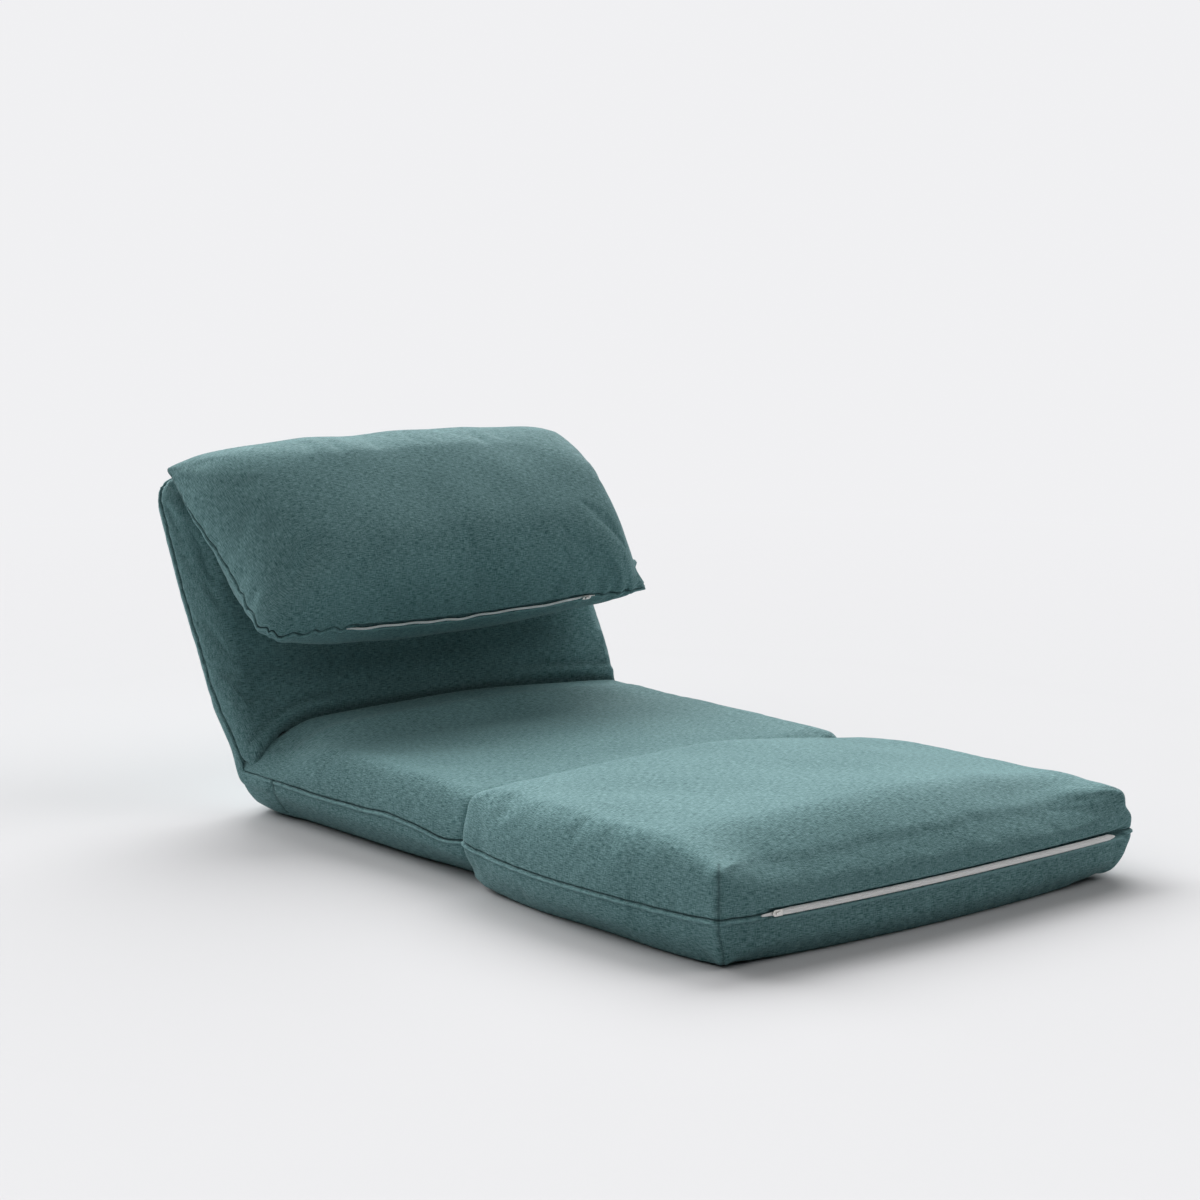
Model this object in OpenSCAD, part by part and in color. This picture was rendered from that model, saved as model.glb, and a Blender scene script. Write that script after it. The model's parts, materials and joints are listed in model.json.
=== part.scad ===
// Multi-position chair for the floor: a seat cushion, a back that reclines on two
// ratchet hinges, a foot cushion that folds over the seat, and a pillow that hangs
// from the top of the back. X is the width, +Y points to the back, the origin is on
// the floor under the middle of the seat.

/* [Seat] */
// Width of the seat and of the back, seam to seam
seat_w = 700; // [600:10:800]
// Length of the seat, from its front face to the axis of the back
seat_len = 540; // [480:10:620]
// Height of the seat's top above the floor, at its edges
seat_h = 116; // [110:1:130]
// Rise of the middle of the seat above its edges
seat_crown = 1.5; // [0:0.5:4]
// Height of the side seams and of the back's axis
seam_z = 62; // [58:1:66]
// How far the seat's sides are drawn in at the top
seat_draw = 22; // [12:1:30]
// How far the seat's sides are drawn in at the floor
seat_tuck = 34; // [20:1:45]

/* [Back] */
// Length of the back, from its axis to its top seam
back_len = 460; // [400:10:560]
// Slope of the back above the floor in its highest notch
back_angle = 63; // [50:1:75]
// Front padding of the back, in front of its side seams
back_front = 34; // [28:1:40]
// Rise of the middle of the back's front
back_crown = 6; // [0:1:10]
// Rear padding of the back, behind its side seams
back_rear = 22; // [20:1:30]
// Rise of the middle of the back's rear
back_rear_crown = 5; // [0:1:10]
// Length of the soft slope at the top of the back's front
back_slope = 80; // [50:5:110]
// Radius of the back's top corners
back_corner = 42; // [20:1:60]

/* [Foot cushion] */
// Width of the foot cushion at its front seam
foot_w = 722; // [620:2:820]
// Length of the foot cushion
foot_len = 510; // [440:10:560]
// Height of the foot cushion's top corners
foot_edge_h = 127; // [122:1:140]
// Rise of the middle of the foot cushion above its corners
foot_crown = 23; // [10:1:34]
// Height of the foot cushion's front bottom corners above the floor
foot_lift = 10; // [4:1:16]
// How far the foot cushion's sides swell out
foot_side_swell = 24; // [0:1:34]
// How far the foot cushion's front swells out
foot_front_swell = 18; // [6:1:30]

/* [Pillow] */
// Width of the pillow, seam to seam
pillow_w = 716; // [620:2:800]
// Length of the pillow, from its hinge to its bottom seam
pillow_len = 349; // [300:1:380]
// Fullness of the pillow in front of its seams
pillow_front = 84; // [60:1:110]
// Rise of the middle of the pillow's front
pillow_crown = 20; // [0:1:30]
// Fullness of the pillow behind its seams
pillow_rear = 76; // [40:1:84]
// Angle between the pillow and the back
pillow_tilt = 24.5; // [22:0.5:30]
// How far the pillow's hinge stands above the back's top seam
pillow_rise = 10; // [8:1:16]
// How far the pillow's hinge lies in front of the back's seams
pillow_out = 13; // [11:1:16]
// Depth of the pillow's rear where it lies on the back's top slope
pillow_lie = 2; // [1:0.1:2.2]

/* [Covers] */
// Thickness of the cover fabric with its quilted lining
cover_t = 1.5; // [1:0.1:2]
// Thickness of the pillow's thinner cover
pillow_cover_t = 1; // [0.6:0.1:1.2]
// Thickness of the base cloth under the seat
cloth_t = 1.2; // [0.8:0.1:2]
// Space between soft pieces
soft_gap = 0.3; // [0.2:0.1:0.6]
// Space between the seat's front and the foot cushion
fold_gap = 1; // [0.8:0.1:2]
// Space between the seat's round end and the back
crease_gap = 1.5; // [1.2:0.1:3]

/* [Frame] */
// Outside diameter of the seat's tube
seat_tube_d = 19; // [16:1:20]
// Outside diameter of the back's tube
back_tube_d = 16; // [12:1:17]
// Outside diameter of the cross tubes
cross_tube_d = 13; // [10:1:14]
// Wall of the tubes
tube_wall = 1.2; // [0.8:0.1:2]
// Distance of the seat's tube from the side seams
rail_inset = 60; // [56:1:100]
// Radius of the tubes' bends at their centre line
bend_r = 45; // [35:1:70]
// Width of the elastic straps
strap_w = 50; // [30:5:60]
// Thickness of the elastic straps
strap_t = 1.5; // [1:0.1:1.7]

/* [Ratchet hinge] */
// Notches below the highest one
notches = 4; // [3:1:6]
// Radius of the hinge's cheeks
cheek_r = 27; // [26:1:32]
// Thickness of each cheek
cheek_t = 2; // [1.5:0.1:3]
// Thickness of the toothed sector
sector_t = 3; // [2:0.1:4]
// Radius of the sector's tooth tips
tooth_r = 24.5; // [23:0.5:25]
// Depth of the teeth
tooth_h = 4.5; // [3:0.5:5]
// Half height of the hinge's arms
arm_h = 8.4; // [6:0.1:8.5]
// Length of the arms along the tubes
arm_len = 120; // [100:5:150]
// Radius of the hinge's rivet
pin_r = 5; // [4:0.5:7]
// Radial clearance of the hinge's rivet
pin_gap = 0.05; // [0.02:0.01:0.1]
// Radius of the rivets that hold the arms to the tubes
rivet_r = 2.5; // [2:0.5:3]
// Space between flat metal pieces
metal_gap = 0.2; // [0.1:0.05:0.3]

/* [Zips] */
// Width of the visible zip
zip_w = 10; // [6:1:14]
// Thickness of the zip
zip_t = 1.6; // [1:0.1:2.5]
// Left end of the foot cushion's zip, measured from the middle
foot_zip_left = 290; // [200:5:320]
// Right end of the foot cushion's zip, measured from the middle
foot_zip_right = 335; // [200:5:340]
// Left end of the pillow's zip, measured from the middle
pillow_zip_left = 215; // [150:5:260]
// Right end of the pillow's zip, measured from the middle
pillow_zip_right = 245; // [150:5:260]
// Length of a zip slider
slider_len = 15; // [10:1:20]

/* [Hidden] */

// Steps round a plan corner, along the sides, along the ends, and over a soft edge
corner_steps = 3;
side_steps = 4;
end_steps = 5;
edge_steps = 5;

// Colours of the fabric, the linings, the foam and the metal
teal = [0.29, 0.43, 0.42];
teal_dark = [0.24, 0.37, 0.36];
foam_color = [0.93, 0.90, 0.78];
wadding_color = [0.95, 0.95, 0.93];
steel_color = [0.25, 0.26, 0.28];
plate_color = [0.72, 0.73, 0.75];
strap_color = [0.2, 0.2, 0.2];
zip_color = [0.92, 0.92, 0.90];

// How far each half cushion is drawn in at the [sides, front, rear]
seat_top_draw = [seat_draw, 8, seat_h - seam_z];
seat_bottom_draw = [seat_tuck, 14, 70];
back_front_draw = [seat_draw, 0, back_slope];
back_rear_draw = [14, 0, 30];
foot_top_draw = [10, 10, 6];
foot_bottom_draw = [22, 22, 10];
pillow_front_draw = [92, 56, 88];
pillow_rear_draw = [112, 60, 30];

// Plan radii of the cushions' corners at the [front, rear]
seat_corners = [24, 12];
back_corners = [6, back_corner];
foot_corners = [11, 11];
pillow_corners = [26, 26];

// Places that several pieces share
axis_y = seat_len / 2;
rail_x = seat_w / 2 - rail_inset;
seat_front_y = -seat_len / 2 + fold_gap / 2;
foot_rear_y = -seat_len / 2 - fold_gap / 2;
foot_front_y = foot_rear_y - foot_len;
fold_z = seat_h + seat_crown + fold_gap / 2;
nose_r = seat_h - seam_z;
socket_r = nose_r + crease_gap;
skin_gap = cover_t + soft_gap;
facet_gap = 1;
foam_half_w = seat_w / 2 - seat_draw - skin_gap - 0.2;
foam_low_half_w = seat_w / 2 - seat_tuck - skin_gap - 0.2;
foam_r = nose_r - skin_gap - facet_gap;

// Layers between the seat's two foams, from its tubes outwards
seat_tube_r = seat_tube_d / 2;
seat_strap_z = seam_z + seat_tube_r + metal_gap;
seat_foam_top_z = seat_strap_z + strap_t + soft_gap;
seat_foam_low_z = seam_z - seat_tube_r - soft_gap;
seat_floor_z = cloth_t + soft_gap;

// Layers of the back, measured from its seam plane
back_tube_r = back_tube_d / 2;
back_strap_n = back_tube_r + metal_gap;
back_foam_front_n = back_strap_n + strap_t + soft_gap;
back_foam_rear_n = max(back_tube_r, arm_h) + soft_gap;
back_rail_start = socket_r + cover_t + 5;
back_top_bar = back_len - 40;
back_foam_end = back_len - 36;

// Layers of a hinge, from the seat's tube outwards
cheek_in_x = rail_x + seat_tube_r + metal_gap;
sector_x = cheek_in_x + cheek_t + metal_gap;
cheek_out_x = sector_x + sector_t + metal_gap;
hinge_out_x = cheek_out_x + cheek_t;
back_rail_x = sector_x - metal_gap - back_tube_r;
notch_step = back_angle / notches;
notch_half = 4;
pawl_t = 2;
pocket_gap = 1;
spacer_len = arm_len - tooth_r - 32;
spacer_low = -3;

// Rivets that hold the arms, measured along Y on the seat and from the axis on the back
rivet_head_t = 1.5;
rivet_head_r = 2 * rivet_r;
rivet_in = 14;
seat_rail_end = axis_y - cheek_r - 12;
seat_bar_y = seat_front_y + 36;
seat_rivets = [axis_y - arm_len + rivet_in, seat_rail_end - rivet_in];
back_rivets = [back_rail_start + rivet_in, arm_len - rivet_in];

// Circle along which the foot cushion's front swells
foot_arc_r = (pow(foot_w / 2, 2) + pow(foot_front_swell, 2)) / (2 * foot_front_swell);
foot_arc_y = foot_front_y - foot_front_swell + foot_arc_r;

// The foot cushion's foam reaches the fold, and its wadding fills the crown
foot_foam_top = fold_z - fold_gap / 2;
foot_foam_in = foot_bottom_draw[0] + cover_t + 2;

// How far the sewn strips and the base cloth end inside the edges that they lie on
foot_strap_in = 60;
foot_strap_edge = 12;
pillow_strip_in = 50;
pillow_strip_gap = 0.6;
pillow_strip_end_gap = 0.8;
base_cloth_in = 20;
base_cloth_rear_in = 24;

/* Soft forms */

// A point on the way from a to b
function between(a, b, f) = a + (b - a) * f;

// Points round a rectangle with rounded corners, anticlockwise from above. box is
// [left, right, front, rear] and r is [radius at the front, radius at the rear].
function ring_points(box, r) =
  let (corners = [
    [box[1] - r[0], box[2] + r[0], -90, r[0]],
    [box[1] - r[1], box[3] - r[1], 0, r[1]],
    [box[0] + r[1], box[3] - r[1], 90, r[1]],
    [box[0] + r[0], box[2] + r[0], 180, r[0]]
  ])
  [for (k = [0 : 3])
    let (
      a = corners[k],
      b = corners[(k + 1) % 4],
      n = k % 2 == 0 ? side_steps : end_steps,
      turn = a[2] + 90,
      from = [a[0] + a[3] * cos(turn), a[1] + a[3] * sin(turn)],
      to = [b[0] + b[3] * cos(turn), b[1] + b[3] * sin(turn)]
    )
    each concat(
      [for (i = [0 : corner_steps])
        let (t = a[2] + 90 * i / corner_steps)
        [a[0] + a[3] * cos(t), a[1] + a[3] * sin(t)]],
      [for (i = [1 : n - 1]) between(from, to, i / n)]
    )
  ];

// Half of a cushion, as rings from its seam to its middle. draw is how far the left and
// right sides, the front and the rear come in over the edge, h is the height of the
// half, and bend(point, share) gives the swell and crown of each point, where share
// runs from 0 at the seam to 1 on top.
function half_skin(box, h, draw, r, bend, inner = [0.4, 0.75]) =
  let (
    mid = [(box[0] + box[1]) / 2, (box[2] + box[3]) / 2],
    top = [box[0] + draw[0], box[1] - draw[0], box[2] + draw[1], box[3] - draw[2]]
  )
  concat(
    [for (k = [0 : edge_steps])
      let (
        a = 90 * k / edge_steps,
        p = 1 - cos(a),
        edge = [box[0] + draw[0] * p, box[1] - draw[0] * p, box[2] + draw[1] * p, box[3] - draw[2] * p]
      )
      [for (q = ring_points(edge, r)) bend([q[0], q[1], h * sin(a)], sin(a))]],
    [for (f = inner)
      let (edge = between(top, [mid[0], mid[0], mid[1], mid[1]], f))
      [for (q = ring_points(edge, r * (1 - f))) bend([q[0], q[1], h], 1)]],
    [[bend([mid[0], mid[1], h], 1)]]
  );

function reversed(list) = [for (i = [len(list) - 1 : -1 : 0]) list[i]];

// A closed solid through rings listed from the bottom's middle point to the top's. The
// quads of the first bands, up to number low, are split along their other diagonal, so
// that skins listed in opposite orders are split alike and keep their distance.
module ring_solid(rings, low) {
  n = len(rings[1]);
  last = len(rings) - 1;
  points = [for (ring = rings) each ring];
  start = function (k) k == 0 ? 0 : 1 + (k - 1) * n;
  faces = concat(
    [for (i = [0 : n - 1]) [0, start(1) + i, start(1) + (i + 1) % n]],
    [for (k = [1 : last - 2])
      for (i = [0 : n - 1])
        let (
          a = start(k) + i,
          b = start(k) + (i + 1) % n,
          c = start(k + 1) + i,
          d = start(k + 1) + (i + 1) % n
        )
        each k <= low ? [[a, c, b], [b, c, d]] : [[a, d, b], [a, c, d]]],
    [for (i = [0 : n - 1]) [start(last), start(last - 1) + (i + 1) % n, start(last - 1) + i]]
  );
  polyhedron(points, faces, convexity = 6);
}

// A cover's half shell, from its outer and inner skins
module shell(outer, inner, up) {
  ring_solid(up ? concat(reversed(inner), outer) : concat(reversed(outer), inner), len(outer) - 2);
}

// A skin's own box, drawn in by d on every side
function shrink(box, d) = [box[0] + d, box[1] - d, box[2] + d, box[3] - d];

/* Seat cushion */

seat_box = [-seat_w / 2, seat_w / 2, seat_front_y, axis_y + nose_r];

function seat_bend(crown) = function (p, share)
  let (x = 2 * p[0] / seat_w, y = p[1] / axis_y)
  [p[0], p[1], seam_z + p[2] + crown * share * max(0, 1 - x * x) * max(0, 1 - y * y)];

function seat_top_skin(d) =
  half_skin(shrink(seat_box, d), nose_r - d, seat_top_draw - [0, 0, d], seat_corners,
    seat_bend(seat_crown));

function seat_bottom_skin(d) =
  half_skin(shrink(seat_box, d), -(seam_z - seat_floor_z - d), seat_bottom_draw, seat_corners,
    seat_bend(0), [0.6]);

// Slits through which the hinge arms leave the seat's round end
module arm_slits() {
  for (side = [-1, 1])
    translate([side * (sector_x + sector_t / 2) - sector_t / 2 - pocket_gap, axis_y, 0])
      rotate([90, 0, 90])
        linear_extrude(sector_t + 2 * pocket_gap)
          arm_sweep(nose_r + 6);
}

// Outline that an arm sweeps from the highest notch down to flat, in the hinge's plane
module arm_sweep(reach) {
  h = arm_h + pocket_gap;
  translate([0, seam_z]) {
    for (a = [0, back_angle / 2, back_angle])
      rotate(a)
        translate([0, -h])
          square([reach, 2 * h]);
    for (a = [back_angle / 4, back_angle * 3 / 4])
      rotate(a)
        translate([0, -h])
          square([reach - 2, 2 * h]);
  }
}

module seat_top_cover() {
  color(teal)
    difference() {
      shell(seat_top_skin(0), seat_top_skin(cover_t), true);
      arm_slits();
    }
}

module seat_bottom_cover() {
  color(teal_dark)
    difference() {
      shell(seat_bottom_skin(0), seat_bottom_skin(cover_t), false);
      arm_slits();
    }
}

// Plain cloth that closes the seat underneath, within the flat of its bottom cover
module seat_base_cloth() {
  half_w = seat_w / 2 - seat_tuck - base_cloth_in;
  front = seat_front_y + seat_bottom_draw[1] + base_cloth_in;
  rear = axis_y + nose_r - seat_bottom_draw[2] - base_cloth_rear_in;
  color(strap_color)
    translate([-half_w, front, 0])
      cube([2 * half_w, rear - front, cloth_t]);
}

// Side view of a layer of the seat's foam, whose block ends at y = rear and whose round
// end goes on from there
module foam_outline(bottom, top, front, rear) {
  intersection() {
    translate([front, bottom])
      square([seat_len + nose_r, top - bottom]);
    union() {
      translate([front, bottom])
        square([rear - front, top - bottom]);
      translate([axis_y, seam_z])
        circle(r = foam_r, $fn = 96);
    }
  }
}

// Plan of a layer of foam, with its corners cut to lie inside the cover's round ones
module foam_plan(half_w, front, rear, corners) {
  cut = 0.7 * corners;
  right = [
    [half_w - cut[0], front], [half_w, front + cut[0]],
    [half_w, rear - cut[1]], [half_w - cut[1], rear],
    [half_w - cut[1], rear + seat_len]
  ];
  polygon(concat(right, [for (p = reversed(right)) [-p[0], p[1]]]));
}

// Room in the foams for the hinge's cheeks and its arm
module hinge_pockets() {
  for (side = [-1, 1]) {
    x = (cheek_in_x + hinge_out_x) / 2;
    w = hinge_out_x - cheek_in_x + 2 * (rivet_head_t + pocket_gap);
    translate([side * x - w / 2, axis_y, seam_z])
      rotate([0, 90, 0])
        cylinder(r = cheek_r + pocket_gap, h = w, $fn = 64);
  }
  arm_slits();
}

// A layer of the seat's foam from z = bottom to z = top
module seat_foam(half_w, bottom, top, front, rear) {
  color(foam_color)
    difference() {
      intersection() {
        translate([-half_w, 0, 0])
          rotate([90, 0, 90])
            linear_extrude(2 * half_w)
              foam_outline(bottom, top, front, rear);
        linear_extrude(seat_h)
          foam_plan(half_w, front, rear, seat_corners);
      }
      hinge_pockets();
    }
}

module seat_foam_top() {
  seat_foam(foam_half_w, seat_foam_top_z, seat_h - skin_gap,
    seat_front_y + skin_gap + seat_top_draw[1], axis_y);
}

module seat_foam_bottom() {
  seat_foam(foam_low_half_w, seat_floor_z + skin_gap, seat_foam_low_z,
    seat_front_y + skin_gap + seat_bottom_draw[1], axis_y + nose_r - seat_bottom_draw[2] - 2 * skin_gap);
}

/* Tubes and straps */

// A U of tube in the XY plane, open at its near end, with its bar at y = bar
module tube_u(half_w, open_y, bar, r) {
  way = bar > open_y ? 1 : -1;
  for (side = [-1, 1]) {
    translate([side * half_w, open_y, 0])
      rotate([-90 * way, 0, 0])
        cylinder(r = r, h = abs(bar - open_y) - bend_r, $fn = 32);
    translate([side * (half_w - bend_r), bar - way * bend_r, 0])
      rotate([0, 0, side > 0 ? (way > 0 ? 0 : -90) : (way > 0 ? 90 : 180)])
        rotate_extrude(angle = 90, $fn = 48)
          translate([bend_r, 0])
            circle(r = r, $fn = 32);
  }
  translate([-half_w + bend_r, bar, 0])
    rotate([0, 90, 0])
      cylinder(r = r, h = 2 * (half_w - bend_r), $fn = 32);
}

module tube(half_w, open_y, bar, r) {
  way = bar > open_y ? 1 : -1;
  difference() {
    tube_u(half_w, open_y, bar, r);
    tube_u(half_w, open_y - way, bar, r - tube_wall);
  }
}

// Cross tubes between two rails, at the given places along them
module cross_tubes(half_w, places) {
  for (y = places)
    translate([-half_w, y, 0])
      rotate([0, 90, 0])
        difference() {
          cylinder(r = cross_tube_d / 2, h = 2 * half_w, $fn = 32);
          translate([0, 0, -1])
            cylinder(r = cross_tube_d / 2 - tube_wall, h = 2 * half_w + 2, $fn = 32);
        }
}

// Elastic straps over two rails, evenly spaced between two places along them
module straps(half_w, first, last, count) {
  for (i = [0 : count - 1])
    translate([-half_w, first + (last - first - strap_w) * i / (count - 1), 0])
      cube([2 * half_w, strap_w, strap_t]);
}

// Rivets through an arm and its tube, at the given places along the tube
module arm_rivets(x_in, x_out, places) {
  for (side = [-1, 1])
    for (y = places)
      translate([side > 0 ? x_in : -x_out, y, 0])
        rotate([0, 90, 0]) {
          cylinder(r = rivet_r, h = x_out - x_in, $fn = 24);
          translate([0, 0, -rivet_head_t])
            cylinder(r = rivet_head_r, h = rivet_head_t, $fn = 24);
          translate([0, 0, x_out - x_in])
            cylinder(r = rivet_head_r, h = rivet_head_t, $fn = 24);
        }
}

module rivet_holes(x_in, x_out, places) {
  for (side = [-1, 1])
    for (y = places)
      translate([side > 0 ? x_in - 2 : -x_out - 2, y, 0])
        rotate([0, 90, 0])
          cylinder(r = rivet_r + pin_gap, h = x_out - x_in + 4, $fn = 24);
}

module seat_frame_tube() {
  color(steel_color)
    translate([0, 0, seam_z])
      difference() {
        tube(rail_x, seat_rail_end, seat_bar_y, seat_tube_r);
        rivet_holes(rail_x - seat_tube_r, rail_x + seat_tube_r, seat_rivets);
      }
}

module seat_cross_tubes() {
  color(steel_color)
    translate([0, 0, seam_z])
      cross_tubes(rail_x - seat_tube_r - metal_gap, [seat_bar_y + seat_len * 0.28, seat_rail_end - 40]);
}

module seat_webbing() {
  color(strap_color)
    translate([0, 0, seat_strap_z])
      straps(rail_x + 2, seat_bar_y + bend_r, seat_rail_end - 6, 5);
}

module seat_frame_rivets() {
  color(plate_color)
    translate([0, 0, seam_z])
      arm_rivets(rail_x - seat_tube_r - metal_gap, hinge_out_x + metal_gap, seat_rivets);
}

/* Ratchet hinges */

// Places a shape drawn in the hinge's plane, with y forward of the axis and z up, at x
module at_hinge(side, x, t) {
  translate([side > 0 ? x : -x - t, axis_y, seam_z])
    rotate([90, 0, 90])
      linear_extrude(t)
        children();
}

module cheek_outline() {
  difference() {
    union() {
      circle(r = cheek_r, $fn = 64);
      translate([-arm_len, -arm_h])
        square([arm_len, 2 * arm_h]);
      translate([-arm_len, 0])
        circle(r = arm_h, $fn = 32);
    }
    circle(r = pin_r + pin_gap, $fn = 32);
    for (y = seat_rivets)
      translate([y - axis_y, 0])
        circle(r = rivet_r + pin_gap, $fn = 24);
  }
}

// Block between the cheeks that holds them apart and backs the pawl
module spacer_outline() {
  difference() {
    translate([-arm_len + 4, spacer_low + metal_gap])
      square([spacer_len, arm_h - spacer_low - metal_gap]);
    for (y = seat_rivets)
      translate([y - axis_y, 0])
        circle(r = rivet_r + pin_gap, $fn = 24);
  }
}

module ratchet_cheeks(side) {
  color(plate_color) {
    at_hinge(side, cheek_in_x, cheek_t)
      cheek_outline();
    at_hinge(side, cheek_out_x, cheek_t)
      cheek_outline();
    at_hinge(side, cheek_in_x + cheek_t, sector_t + 2 * metal_gap)
      spacer_outline();
  }
}

// Saw teeth on the sector's rim: each notch has a square face that the pawl locks on
// and a slope over which it rides when the back is raised
function tooth_points() = [
  for (k = [0 : notches])
    let (a = 180 + k * notch_step, root = tooth_r - tooth_h)
    each [
      [root, a - notch_half],
      [root, a + notch_half],
      [tooth_r, a + notch_half],
      [tooth_r, a + notch_half + 2]
    ]
];

module sector_outline() {
  root = tooth_r - tooth_h;
  difference() {
    union() {
      circle(r = root, $fn = 64);
      polygon(concat(
        [[0, 0]],
        [for (a = [180 - notch_half - 24 : 4 : 180 - notch_half]) tooth_r * [cos(a), sin(a)]],
        [for (q = tooth_points()) q[0] * [cos(q[1]), sin(q[1])]]
      ));
      rotate(back_angle)
        translate([0, -arm_h])
          square([arm_len, 2 * arm_h]);
    }
    circle(r = pin_r + pin_gap, $fn = 32);
    rotate(back_angle)
      for (s = back_rivets)
        translate([s, 0])
          circle(r = rivet_r + pin_gap, $fn = 24);
  }
}

module ratchet_sector(side) {
  color(plate_color)
    at_hinge(side, sector_x, sector_t)
      sector_outline();
}

// Leaf spring that lies under the spacer and rises to a tip in the notch
module pawl_outline() {
  tip = -(tooth_r - tooth_h) - metal_gap;
  root = -arm_len + 4 + rivet_in + rivet_r + 2;
  knee = -arm_len + 10 + spacer_len;
  polygon([
    [root, spacer_low - pawl_t],
    [knee, spacer_low - pawl_t],
    [tip - 10, -pawl_t / 2],
    [tip, -pawl_t / 2 + 0.2],
    [tip, pawl_t / 2 - 0.2],
    [tip - 10.6, pawl_t / 2],
    [knee - 0.6, spacer_low],
    [root, spacer_low]
  ]);
}

module ratchet_pawl(side) {
  color(steel_color)
    at_hinge(side, sector_x + 0.1, sector_t - metal_gap)
      pawl_outline();
}

module ratchet_rivet(side) {
  head_r = pin_r + 3.5;
  head_t = 1.4;
  length = hinge_out_x - cheek_in_x + 2 * metal_gap;
  x = side > 0 ? cheek_in_x - metal_gap : -hinge_out_x - metal_gap;
  color(steel_color)
    translate([x, axis_y, seam_z])
      rotate([0, 90, 0]) {
        cylinder(r = pin_r, h = length, $fn = 32);
        translate([0, 0, -head_t])
          cylinder(r1 = head_r - 1, r2 = head_r, h = head_t, $fn = 32);
        translate([0, 0, length])
          cylinder(r1 = head_r, r2 = head_r - 1, h = head_t, $fn = 32);
      }
}

/* Back cushion, drawn flat with y along the back and z out of its front */

module at_back() {
  translate([0, axis_y, seam_z])
    rotate([back_angle, 0, 0])
      children();
}

back_box = [-seat_w / 2, seat_w / 2, 0, back_len];

// The back's lower end is hollowed to radius r round the axis
function back_bend(crown, r) = function (p, share)
  let (
    x = 2 * p[0] / seat_w,
    f = max(0, min(1, p[1] / back_len)),
    n = p[2] + crown * share * max(0, 1 - x * x) * sin(180 * f),
    start = sqrt(r * r - n * n)
  )
  [p[0], start + p[1] * (back_len - start) / back_len, n];

function back_skin_box(d) = [-seat_w / 2 + d, seat_w / 2 - d, 0, back_len - d];

function back_front_skin(d) =
  half_skin(back_skin_box(d), back_front - d, back_front_draw, back_corners,
    back_bend(back_crown, socket_r + d));

function back_rear_skin(d) =
  half_skin(back_skin_box(d), -(back_rear - d), back_rear_draw, back_corners,
    back_bend(-back_rear_crown, socket_r + d), [0.6]);

// Slits through which the hinge arms enter the back
module back_slits() {
  h = arm_h + pocket_gap;
  for (side = [-1, 1])
    translate([side * (sector_x + sector_t / 2) - sector_t / 2 - pocket_gap, socket_r / 2, -h])
      cube([sector_t + 2 * pocket_gap, socket_r / 2 + cover_t + 4, 2 * h]);
}

module back_front_cover() {
  color(teal)
    at_back()
      difference() {
        shell(back_front_skin(0), back_front_skin(cover_t), true);
        back_slits();
      }
}

module back_rear_cover() {
  color(teal_dark)
    at_back()
      difference() {
        shell(back_rear_skin(0), back_rear_skin(cover_t), false);
        back_slits();
      }
}

// Side view of the back's front foam, which thins out under the top slope
module back_foam_outline() {
  thick = back_front - skin_gap - facet_gap;
  slope = back_slope - 8;
  from = back_len - cover_t - back_slope;
  polygon(concat(
    [
      [back_rail_start, back_foam_front_n],
      [from + slope * cos(20), back_foam_front_n]
    ],
    [for (a = [20 : 10 : 90])
      [from + slope * cos(a), max(back_foam_front_n + 1, thick * sin(a) - (a < 90 ? 1.5 : 0))]],
    [[back_rail_start, thick]]
  ));
}

// Plan of the back's foam, whose top corners lie inside the cover's round ones
module back_foam_plan(end) {
  cut = 0.7 * back_corner;
  polygon([
    [-foam_half_w, back_rail_start], [foam_half_w, back_rail_start],
    [foam_half_w, end - cut], [foam_half_w - cut, end],
    [-foam_half_w + cut, end], [-foam_half_w, end - cut]
  ]);
}

module back_foam_front() {
  color(foam_color)
    at_back()
      intersection() {
        translate([-foam_half_w, 0, 0])
          rotate([90, 0, 90])
            linear_extrude(2 * foam_half_w)
              back_foam_outline();
        linear_extrude(2 * back_front)
          back_foam_plan(back_foam_end);
      }
}

module back_foam_rear() {
  bottom = -(back_rear - skin_gap - facet_gap);
  color(foam_color)
    at_back()
      translate([0, 0, bottom])
        linear_extrude(-back_foam_rear_n - bottom)
          back_foam_plan(back_foam_end);
}

module back_frame_tube() {
  color(steel_color)
    at_back()
      difference() {
        tube(back_rail_x, back_rail_start, back_top_bar, back_tube_r);
        rivet_holes(back_rail_x - back_tube_r, back_rail_x + back_tube_r, back_rivets);
      }
}

module back_cross_tubes() {
  color(steel_color)
    at_back()
      cross_tubes(back_rail_x - back_tube_r - metal_gap, [arm_len + 20, back_len * 0.6]);
}

module back_webbing() {
  color(strap_color)
    at_back()
      translate([0, 0, back_strap_n])
        straps(back_rail_x + 2, back_rail_start + 10, back_top_bar - bend_r, 4);
}

module back_frame_rivets() {
  color(plate_color)
    at_back()
      arm_rivets(back_rail_x - back_tube_r - metal_gap, sector_x + sector_t + metal_gap, back_rivets);
}

/* Foot cushion */

foot_box = [-foot_w / 2, foot_w / 2, foot_front_y, foot_rear_y];
foot_mid_y = (foot_front_y + foot_rear_y) / 2;

// Swells the sides and the front, and crowns the top or rounds the bottom
function foot_bend(crown) = function (p, share)
  let (
    x = 2 * p[0] / foot_w,
    y = 2 * (p[1] - foot_mid_y) / foot_len,
    out_x = x * foot_side_swell * max(0, 1 - y * y),
    out_y = foot_front_swell * max(0, 1 - x * x) * max(0, (1 - y) / 2),
    rise = crown * share * (1 - (min(1, x * x) + min(1, y * y)) / 2)
  )
  [p[0] + out_x, p[1] - out_y, max(0, seam_z + p[2] + rise)];

function foot_top_skin(d) =
  half_skin(shrink(foot_box, d), foot_edge_h - seam_z - d, foot_top_draw, foot_corners, foot_bend(foot_crown));

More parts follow.
